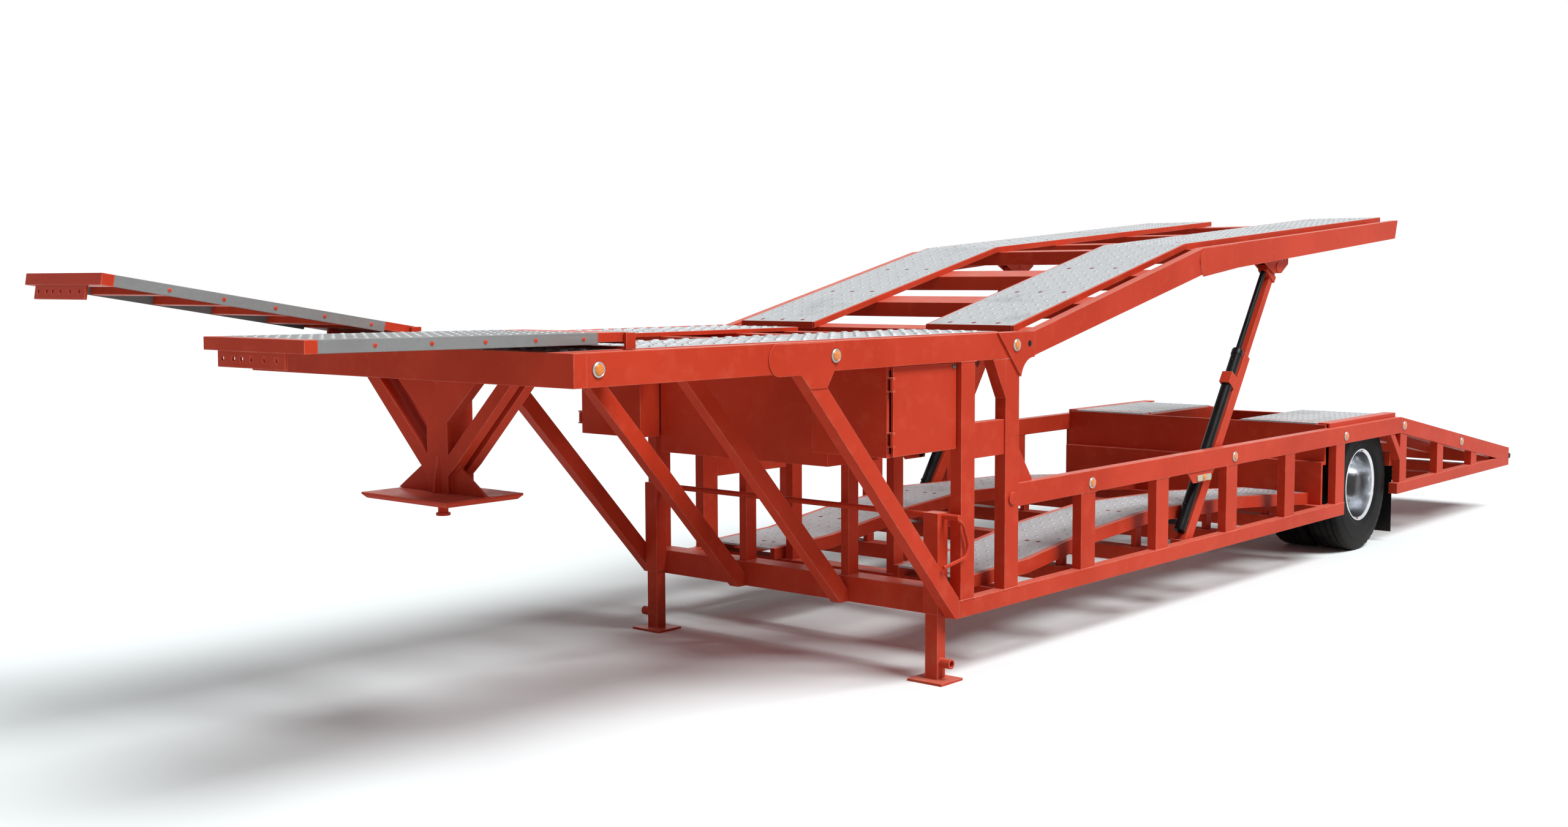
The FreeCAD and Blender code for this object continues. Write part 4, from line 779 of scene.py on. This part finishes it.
reflectorSet = {"topFront": 0.25, "topRear": 0.045, "bottomFront": 0.165, "bottomRear": 0.065, "long": 0.205,
                "above": 0.006, "below": 0.040, "behind": 0.006, "corner": 0.016, "proud": 0.0007,
                "gap": 0.004, "dome": 0.026, "domeRise": 0.006, "tabEase": 0.0012, "ease": 0.0025,
                "blockLong": (0.05, 0.065), "blockHigh": 0.05, "tabThick": 0.01, "tabLong": (0.10, 0.12)}


def reflectors(part):
    # a tapered tab under each rail, with a pale reflector and an amber middle
    tabs, bodies, spots = [], [], []
    blocks = [solid for solid in picked("lamps", 0, *part["blockLong"])
              if solid["high"].z - solid["low"].z < part["blockHigh"]]
    for tab in picked("gusset_plates", 0, *part["tabLong"]):
        if tab["high"].y - tab["low"].y > part["tabThick"]:
            continue
        side, sign = sideOf(tab)
        block = next(solid for solid in blocks if sideOf(solid)[0] == side)
        posts = [solid["high"].x for solid in solidsOf("posts")
                 if sideOf(solid)[0] == side and solid["high"].x < tab["low"].x]
        inner, outer = sorted((tab["low"].y * sign, tab["high"].y * sign))
        rear = max(tab["low"].x - part["topRear"], max(posts) + part["gap"])
        outline = [(tab["high"].x + part["topFront"], tab["high"].z), (rear, tab["high"].z),
                   (tab["low"].x + part["bottomRear"], tab["low"].z),
                   (tab["high"].x + part["bottomFront"], tab["low"].z)]
        tabs.append(plateMesh(outline, inner * sign, (outer + part["gap"] / 2) * sign, part["tabEase"]))
        face = max(abs(block["low"].y), abs(block["high"].y)) + part["proud"]
        lowX, highZ = block["low"].x - part["behind"], block["high"].z + part["above"]
        lowZ = max(block["low"].z - part["below"], tab["low"].z + 2 * part["gap"])
        outline = roundedBox(lowX, lowX + part["long"], lowZ, highZ, part["corner"])
        bodies.append(plateMesh(outline, outer * sign, face * sign, part["ease"]))
        spots.append(((lowX + part["long"] / 2, face * sign, (lowZ + highZ) / 2), facing[side]))
    finished(gathered(tabs), "reflectorTabs", "chassis", paint, smooth=20)
    finished(gathered(bodies), "reflectorBodies", "chassis", reflector, smooth=20)
    dome = latheShape("reflectorDome", domed(part["dome"], part["domeRise"]), 24)
    scattered(dome, spots, "reflectorDomes", "chassis", lens, smooth=60)


reflectors(reflectorSet)

tailLampSet = {"least": 0.1, "frame": 0.009, "corner": 0.013, "cover": 0.002, "coverCorner": 0.006,
               "proud": 0.003, "back": 0.004, "lap": 0.001, "ease": 0.0018}


def tailLamps(part):
    # a black frame and a raised lens over each rear lamp
    frames, covers = [], []
    for solid in picked("lamps", 1, part["least"]):
        low, high = solid["low"], solid["high"]
        seam = low.x + part["back"]
        for meshes, grow, corner, rear, front in (
                (frames, part["frame"], part["corner"], seam, high.x),
                (covers, part["cover"], part["coverCorner"], low.x - part["proud"], seam + part["lap"])):
            outline = roundedBox(low.y - grow, high.y + grow, low.z - grow, high.z + grow, corner)
            meshes.append(plateMesh(outline, rear, front, part["ease"], "x"))
    finished(gathered(frames), "tailLampFrames", "chassis", blackPaint, smooth=20)
    finished(gathered(covers), "tailLampLenses", "chassis", lens, smooth=20)


tailLamps(tailLampSet)
print("lamps finished")

flapSet = {"least": 0.4, "inset": 0.012, "drop": 0.018, "deep": 0.05, "thick": 0.004, "sunk": 0.001,
           "ease": 0.001, "bolts": 5, "bolt": 0.011, "boltFlat": 0.006, "boltEdge": 0.0075, "boltTop": 0.0078}


def flapClamps(part):
    # a steel strip and a row of bolts along the top of each mudflap
    strips, spots = [], []
    for solid in picked("mudflaps_and_buffers", 2, part["least"]):
        low, high = solid["low"], solid["high"]
        start, end = low.y + part["inset"], high.y - part["inset"]
        top, face = high.z - part["drop"], low.x - part["thick"]
        foot = top - part["deep"]
        outline = [(start, foot), (end, foot), (end, top), (start, top)]
        strips.append(plateMesh(outline, face, low.x + part["sunk"], part["ease"], "x"))
        for i in range(part["bolts"]):
            y = start + (end - start) * (i + 0.5) / part["bolts"]
            spots.append(((face, y, top - part["deep"] / 2), facing["back"]))
    finished(gathered(strips), "flapClamps", "chassis", hubSteel, smooth=20)
    bolt = latheShape("clampBolt", [(0, -part["sunk"]), (part["bolt"], -part["sunk"]),
                                    (part["bolt"], part["boltFlat"]), (part["bolt"] * 0.8, part["boltEdge"]),
                                    (0, part["boltTop"])], 6)
    scattered(bolt, spots, "flapBolts", "chassis", nutSteel, loose=1.0)


flapClamps(flapSet)
print("mudflaps finished")

pinSet = {"radius": 0.019, "rise": 0.0035, "sides": 24, "outside": 2,
          "plates": ("gusset_plates", "pivot_brackets", "upper_deck_rails", "side_rails")}


def pivotPins(part):
    # the dark ends of the deck's hinge pins, on whatever plate lies outermost there
    x, _, z = jointCalled("upper_deck_tilt")["pos_m"]
    spots = []
    for side, sign in signs.items():
        hits = [firstHit(node, (x, sign * part["outside"], z), (0, -sign, 0)) for node in part["plates"]]
        face = max(abs(hit.y) for hit in hits if hit)
        spots.append(((x, face * sign, z), facing[side]))
    pin = latheShape("pinEnd", domed(part["radius"], part["rise"]), part["sides"])
    scattered(pin, spots, "pivotPinEnds", "chassis", blackPaint)


pivotPins(pinSet)

kinkSet = {"long": 0.50, "bulge": 0.062, "inset": 0.003, "foot": 0.001, "proud": 0.0015, "deep": 0.006,
           "steps": 10, "ease": 0.001, "above": 5}


def railEdges(x, depth, part):
    # just inside the lower and upper edges of the rail at a station
    low = firstHit("upper_deck_rails", (x, depth, 0), (0, 0, 1)).z + part["foot"]
    high = firstHit("upper_deck_rails", (x, depth, part["above"]), (0, 0, -1)).z - part["inset"]
    return low, high


def kinkPlates(part):
    # the full-height plate that stiffens the bend of each upper rail, with a bowed front edge
    plates = []
    bend = topRuns(solidsOf("upper_deck_runways")[0])[0][2]
    for rail in solidsOf("upper_deck_rails"):
        sign = sideOf(rail)[1]
        face = max(abs(rail["low"].y), abs(rail["high"].y))
        back = (face - part["deep"]) * sign
        rear = bend - part["long"]
        rearFoot, rearTop = railEdges(rear, back, part)
        foot, top = railEdges(bend, back, part)
        outline = [(rear, rearFoot), (rear, rearTop), (bend, top)]
        for i in range(1, part["steps"]):
            share = i / part["steps"]
            outline.append((bend + part["bulge"] * math.sin(math.pi * share), top + (foot - top) * share))
        outline.append((bend, foot))
        plates.append(plateMesh(outline, back, (face + part["proud"]) * sign, part["ease"]))
    finished(gathered(plates), "kinkPlates", "upper_deck", paint, smooth=20)


kinkPlates(kinkSet)

endStripSet = {"thick": 0.003, "over": 0.0015, "sunk": 0.001, "ease": 0.0008}


def endStrips(part):
    # a red strip across the front end of each upper runway
    strips = []
    for solid in solidsOf("upper_deck_runways"):
        _, _, frontX, frontZ = topRuns(solid)[-1]
        low, high = solid["low"].y, solid["high"].y
        top, foot = frontZ + part["over"], frontZ - sheetDepth(solid) - part["over"]
        outline = [(low, foot), (high, foot), (high, top), (low, top)]
        strips.append(plateMesh(outline, frontX - part["sunk"], frontX + part["thick"], part["ease"], "x"))
    finished(gathered(strips), "upperEndStrips", "upper_deck", paint, smooth=20)


endStrips(endStripSet)
print("upper deck finished")

liftSet = {"skin": 0.0002, "ring": 0.004, "ringLong": 0.045, "lip": 0.005, "gap": 0.0006, "sides": 32,
           "ease": 0.002, "port": 0.011, "portFlange": 0.8, "portRoot": 0.003, "portNeck": (0.006, 0.008),
           "portLong": 0.020, "portPlaces": (0.16, 0.93), "endDepth": 0.0005, "rodMatch": 0.001}


def liftDetail(side, part):
    # the black rod above the barrel, the gland ring at its top and two hose ports
    along = Vector(jointCalled(f"{side}_lift_slide")["axis"])
    foot = Vector(jointCalled(f"{side}_lift_tilt")["pos_m"])
    across = Vector((along.z, 0, -along.x))
    wide = Vector((0, 1, 0))

    def local(node):
        return [Vector(((vert.co - foot) @ across, (vert.co - foot) @ wide, (vert.co - foot) @ along))
                for vert in frame["nodes"][node].data.vertices]

    barrel, ram = local(f"{side}_lift_cylinder"), local(f"{side}_lift_ram")
    top = max(place.z for place in barrel)
    rim = [place for place in barrel if place.z > top - part["endDepth"]]
    centreX, centreY = ((min(place[axis] for place in rim) + max(place[axis] for place in rim)) / 2
                        for axis in (0, 1))

    def radiusOf(place):
        return math.hypot(place.x - centreX, place.y - centreY)

    outer, bore = max(map(radiusOf, rim)), min(map(radiusOf, rim))
    rodSkin = [place for place in ram if abs(radiusOf(place) - bore) < part["rodMatch"]]
    low, high = min(place.z for place in rodSkin), max(place.z for place in rodSkin)
    rod = max(map(radiusOf, rodSkin)) + part["skin"]
    ease, lip, ring = part["ease"], top + part["lip"], outer + part["ring"]
    root, inner = top - part["ringLong"], bore + part["gap"]
    turn = Matrix((across, wide, along)).transposed().to_4x4()
    place = Matrix.Translation(foot + across * centreX + wide * centreY) @ turn

    sleeve = latheShape("rodSleeve", [(rod - ease, low), (rod, low + ease), (rod, high), (rod - ease, high)],
                        part["sides"], closed=True).data
    gland = latheShape("glandRing", [(outer - 0.001, root), (ring, root + 0.003), (ring, top - ease),
                                     (outer, lip), (inner, lip), (inner, top - 0.001)],
                       part["sides"], closed=True).data
    neck, flange, end = part["port"] * part["portFlange"], part["port"], part["portLong"]
    port = latheShape("hosePort", [(0, -part["portRoot"]), (neck, -part["portRoot"]),
                                   (neck, part["portNeck"][0]), (flange, part["portNeck"][1]),
                                   (flange, end - ease), (neck, end), (0, end)], 6)
    spots = [((outer, 0, top * share), (0, math.pi / 2, 0)) for share in part["portPlaces"]]
    ports = repeated(port, spots, blackPaint)
    for mesh in (sleeve, gland, ports):
        mesh.transform(place)
    finished(gathered([sleeve]), f"{side}RodSleeve", f"{side}_ram", blackPaint)
    finished(gathered([gland, ports]), f"{side}BarrelFittings", f"{side}_lift", blackPaint)


for side in signs:
    liftDetail(side, liftSet)
print("lifts finished")

catchSet = {"in": 0.022, "down": 0.020, "half": (0.016, 0.011), "corner": 0.004, "thick": 0.005,
            "sunk": 0.001, "ease": 0.001, "knob": 0.007, "knobRise": 0.004, "outside": 2}


def doorCatches(side, part):
    # a small dark catch in the top rear corner of a locker door
    sign = signs[side]
    node = f"{side}_locker_door"
    door = max(solidsOf(node), key=lambda solid: (solid["high"] - solid["low"]).length)
    x, z = door["low"].x + part["in"], door["high"].z - part["down"]
    face = firstHit(node, (x, sign * part["outside"], z), (0, -sign, 0)).y
    front = face + part["thick"] * sign
    halfX, halfZ = part["half"]
    outline = roundedBox(x - halfX, x + halfX, z - halfZ, z + halfZ, part["corner"])
    plate = plateMesh(outline, face - part["sunk"] * sign, front, part["ease"])
    knob = repeated(latheShape("catchKnob", domed(part["knob"], part["knobRise"]), 12),
                    [((x, front, z), facing[side])], hubSteel)
    finished(gathered([plate, knob]), f"{side}DoorCatch", f"{side}_door", hubSteel)


for side in signs:
    doorCatches(side, catchSet)
print("door catches made")

tyreSet = {"sides": 144, "bead": 0.288, "beadOut": 0.117, "belly": 0.41, "bulge": 0.9,
           "ribAt": (0.352, 0.452), "rib": 0.0015, "ribFlat": 0.002, "ribFoot": 0.004,
           "shoulder": 0.062, "shoulderIn": 0.0055, "notch": 0.007,
           "notchEvery": 3, "blocks": ((0.045, 0.009), (0.022, 0.014), (0.008, 0.021), (0.0015, 0.032)),
           "crown": 0.0015, "grooveAt": (0.084, 0.030), "grooveHalf": 0.0055, "grooveDeep": 0.013,
           "grooveFloor": 0.7}


def tyreProfile(radius, half, part):
    # (radius, offset, notched) down one half of the section, then mirrored
    ribs = []
    for at in part["ribAt"]:
        out = half - 0.0005 - part["bulge"] * (at - part["belly"]) ** 2
        ribs += [(at - part["ribFoot"], out - part["rib"], False), (at - part["ribFlat"], out, False),
                 (at + part["ribFlat"], out, False), (at + part["ribFoot"], out - part["rib"], False)]
    bead, beadOut = part["bead"], part["beadOut"]
    one = [(bead, beadOut, False), (bead + 0.016, beadOut + 0.012, False),
           (bead + 0.036, half - 0.009, False), *ribs[:4], (part["belly"], half - 0.001, False), *ribs[4:],
           (radius - part["shoulder"], half - part["shoulderIn"], False)]
    one += [(radius - down, half - inward, True) for down, inward in part["blocks"]]
    wide, deep = part["grooveHalf"], radius - part["grooveDeep"]
    for at in part["grooveAt"]:
        skin = radius - part["crown"] * (at / half) ** 2
        floor = wide * part["grooveFloor"]
        one += [(skin, at + wide, False), (deep, at + floor, False), (deep, at - floor, False),
                (skin, at - wide, False)]
    return one + [(r, -offset, notched) for r, offset, notched in reversed(one)]


def tyreMesh(work, solid, centre, turn, part):
    # the section turned about the axle, its shoulders notched at even steps
    radius, half = (solid["high"].x - solid["low"].x) / 2, (solid["high"].y - solid["low"].y) / 2
    profile = tyreProfile(radius, half, part)
    rings = []
    for i in range(part["sides"]):
        angle = 2 * math.pi * i / part["sides"]
        ring = []
        for r, offset, notched in profile:
            at = r - part["notch"] if notched and i % part["notchEvery"] == 0 else r
            near = Vector((at * math.cos(angle), at * math.sin(angle), offset))
            ring.append(work.verts.new(turn @ near + centre))
        rings.append(ring)
    for first, second in zip(rings, rings[1:] + rings[:1]):
        wall(work, first, second)


rimSet = {"sides": 96, "lip": 0.302, "bead": 0.2877, "wall": 0.012, "lipOut": 0.135, "discRear": 0.157,
          "discFront": 0.143, "discInner": 0.1005, "discOuter": 0.268, "holes": 10, "holeAt": 0.222,
          "holeRadius": 0.023, "holeSides": 16, "weld": 0.0002}


def discSector(part):
    # a tenth of the wheel disc with one hand hole; the sides cut from its neighbours stay open
    half = math.pi / part["holes"]
    outline = [(part["discInner"], half * share) for share in (-1, -1 / 3, 1 / 3, 1)]
    outline += [(part["discOuter"], half * share) for share in (1, 0.6, 0.2, -0.2, -0.6, -1)]
    work = bmesh.new()
    edges, holes = [], []
    for height in (-part["discFront"], -part["discRear"]):
        edge = [work.verts.new((r * math.cos(a), r * math.sin(a), height)) for r, a in outline]
        hole = ringOf(work, part["holeRadius"], height, part["holeSides"])
        for vert in hole:
            vert.co.x += part["holeAt"]
        bounds = [work.edges.new((ring[i], ring[(i + 1) % len(ring)])) for ring in (edge, hole)
                  for i in range(len(ring))]
        bmesh.ops.triangle_fill(work, edges=bounds, use_beauty=True)
        edges.append(edge)
        holes.append(hole)
    wall(work, *holes)
    front, rear = edges
    inner = (0, 1, 2)
    outer = (4, 5, 6, 7, 8)
    for i in inner + outer:
        work.faces.new((front[i], front[i + 1], rear[i + 1], rear[i]))
    return bpy.data.objects.new("discSector", asMesh(work, "discSector"))


def rimMesh(work, centre, turn, outward, part):
    # barrel with rounded lips; the disc lies toward the twin
    lip, bead, out, inside = part["lip"], part["bead"], part["lipOut"], part["bead"] - part["wall"]
    front, rear, disc = -part["discFront"], -part["discRear"], part["discOuter"]
    profile = [(bead, out - 0.016), (lip - 0.004, out - 0.008), (lip, out - 0.004), (lip - 0.002, out),
               (lip - 0.010, out + 0.0005), (inside, out - 0.012), (inside - 0.006, out - 0.05),
               (inside - 0.009, 0.06 - out), (inside - 0.012, 0.02 - out), (disc - 0.02, front),
               (disc - 0.02, rear), (disc + 0.006, rear + 0.002), (lip - 0.014, -out - 0.002),
               (lip, 0.004 - out), (bead, 0.016 - out), (bead, -0.05), (bead, 0.05)]
    barrel = latheShape("barrel", profile, part["sides"], closed=True).data
    spots = [((0, 0, 0), (0, 0, 2 * math.pi * i / part["holes"])) for i in range(part["holes"])]
    sectors = gathered([repeated(discSector(part), spots, alloy)])
    bmesh.ops.remove_doubles(sectors, verts=sectors.verts, dist=part["weld"])
    bmesh.ops.recalc_face_normals(sectors, faces=sectors.faces)
    flip = Matrix.Identity(3) if outward else Matrix.Rotation(math.pi, 3, "X")
    place = Matrix.Translation(centre) @ (turn @ flip).to_4x4()
    for mesh in (barrel, asMesh(sectors, "disc")):
        mesh.transform(place)
        work.from_mesh(mesh)
        bpy.data.meshes.remove(mesh)


wheelNutSet = {"count": 10, "at": 0.1675, "flats": 0.0175, "flange": 0.022, "flangeTop": 0.004,
               "flatFoot": 0.006, "flatTop": 0.022, "tip": 0.012, "tipAt": 0.028, "top": 0.030}


def wheelNuts(side, place, part):
    # hexagonal nuts with a flange, in a ring on the outer disc
    nut = latheShape("wheelNut", [(0, 0), (part["flange"], 0), (part["flange"], part["flangeTop"]),
                                  (part["flats"], part["flatFoot"]), (part["flats"], part["flatTop"]),
                                  (part["tip"], part["tipAt"]), (0, part["top"])], 6)
    spots = []
    for i in range(part["count"]):
        angle = 2 * math.pi * (i + 0.5) / part["count"]
        spots.append(((part["at"] * math.cos(angle), part["at"] * math.sin(angle), -rimSet["discFront"]),
                      (0, 0, angle)))
    nuts = repeated(nut, spots, nutSteel, loose=1.0)
    nuts.transform(place)
    finished(gathered([nuts]), f"{side}WheelNuts", f"{side}_wheels", nutSteel)


def wheels(side):
    # two tyres and two rims, the outer pair first, with nuts round the outer hub flange
    turn = Matrix.Rotation(-signs[side] * math.pi / 2, 3, "X")
    solids = sorted(solidsOf(f"{side}_tyres"), key=lambda solid: -abs(solid["low"].y + solid["high"].y))
    centres = [(solid["high"] + solid["low"]) / 2 for solid in solids]
    tyres, rims = bmesh.new(), bmesh.new()
    for solid, centre in zip(solids, centres):
        tyreMesh(tyres, solid, centre, turn, tyreSet)
        rimMesh(rims, centre, turn, centre is centres[0], rimSet)
    bmesh.ops.recalc_face_normals(tyres, faces=tyres.faces)
    finished(tyres, f"{side}Tyres", f"{side}_wheels", tyreRubber, [f"{side}_tyres"])
    finished(rims, f"{side}Rims", f"{side}_wheels", alloy, [f"{side}_rims"])
    wheelNuts(side, Matrix.Translation(centres[0]) @ turn.to_4x4(), wheelNutSet)


for side in signs:
    wheels(side)
print("wheels made")

weldSet = {"step": 0.011, "radius": 0.0055, "long": 0.0085, "round": 0.7, "tilt": 0.3, "loose": 0.4,
           "least": 0.2}


def weldBeads(name, node, body, part):
    # a rippled fillet where each upright meets the rails above and below it
    rise = part["radius"] * part["round"]
    bead = latheShape("bead", [(0, -rise), (part["radius"], 0), (0, rise)], 6)
    for vert in bead.data.vertices:
        vert.co.x *= part["long"] / part["radius"]
    spots = []
    for solid in picked(node, 2, part["least"]):
        low, high = solid["low"], solid["high"]
        for z in (low.z, high.z):
            for axis in (0, 1):
                start, end = low[axis], high[axis]
                count = int((end - start) / part["step"])
                for edge in (low[1 - axis], high[1 - axis]):
                    for i in range(count + 1):
                        along = start + (end - start) * i / count
                        place = (along, edge, z) if axis == 0 else (edge, along, z)
                        spots.append((place, (part["tilt"], part["tilt"], axis * math.pi / 2)))
    scattered(bead, spots, name, body, paint, loose=part["loose"])


weldBeads("postWelds", "posts", "chassis", weldSet)
print("welds made")

lightSet = {"sun": 3.5, "from": (-0.05, 0.565, 0.824), "spread": 31.0, "sky": 0.2,
            "floor": (0.90, 0.96, 0.97), "floorBounce": (0.66, 0.63, 0.61), "floorHalf": 90,
            "floorRough": 0.9, "floorShine": 0.1}


def seenStraight(tree):
    # one for camera, glossy and see-through rays, nought for diffuse ones
    path = feed(tree, "ShaderNodeLightPath").outputs
    either = arithmetic(tree, "MAXIMUM", path["Is Camera Ray"], path["Is Glossy Ray"])
    return arithmetic(tree, "MAXIMUM", either, path["Is Transmission Ray"])


def makeStudio(part):
    # a wide floor, one soft sun and a white world
    half = part["floorHalf"]
    corners = [(-half, -half, 0), (half, -half, 0), (half, half, 0), (-half, half, 0)]
    mesh = bpy.data.meshes.new("floor")
    mesh.from_pydata(corners, [], [(0, 1, 2, 3)])
    material, tree, shader, _ = startMaterial("studioFloor")
    tree.links.new(blendColour(tree, seenStraight(tree), part["floorBounce"], part["floor"]),
                   shader.inputs["Base Color"])
    shader.inputs["Roughness"].default_value = part["floorRough"]
    shader.inputs["Specular IOR Level"].default_value = part["floorShine"]
    mesh.materials.append(material)
    linked("floor", mesh)
    data = bpy.data.lights.new("keyLight", "SUN")
    data.energy = part["sun"]
    data.angle = math.radians(part["spread"])
    key = linked("keyLight", data)
    key.rotation_euler = Vector(part["from"]).to_track_quat("Z", "Y").to_euler()
    world = bpy.data.worlds.new("studio")
    world.use_nodes = True
    tree = world.node_tree
    back = tree.nodes["Background"]
    back.inputs["Color"].default_value = (1, 1, 1, 1)
    tree.links.new(spread(tree, seenStraight(tree), 0, 1, part["sky"], 1.0), back.inputs["Strength"])
    bpy.context.scene.world = world
    bpy.context.scene.view_settings.view_transform = "Standard"


makeStudio(lightSet)
print("studio set")
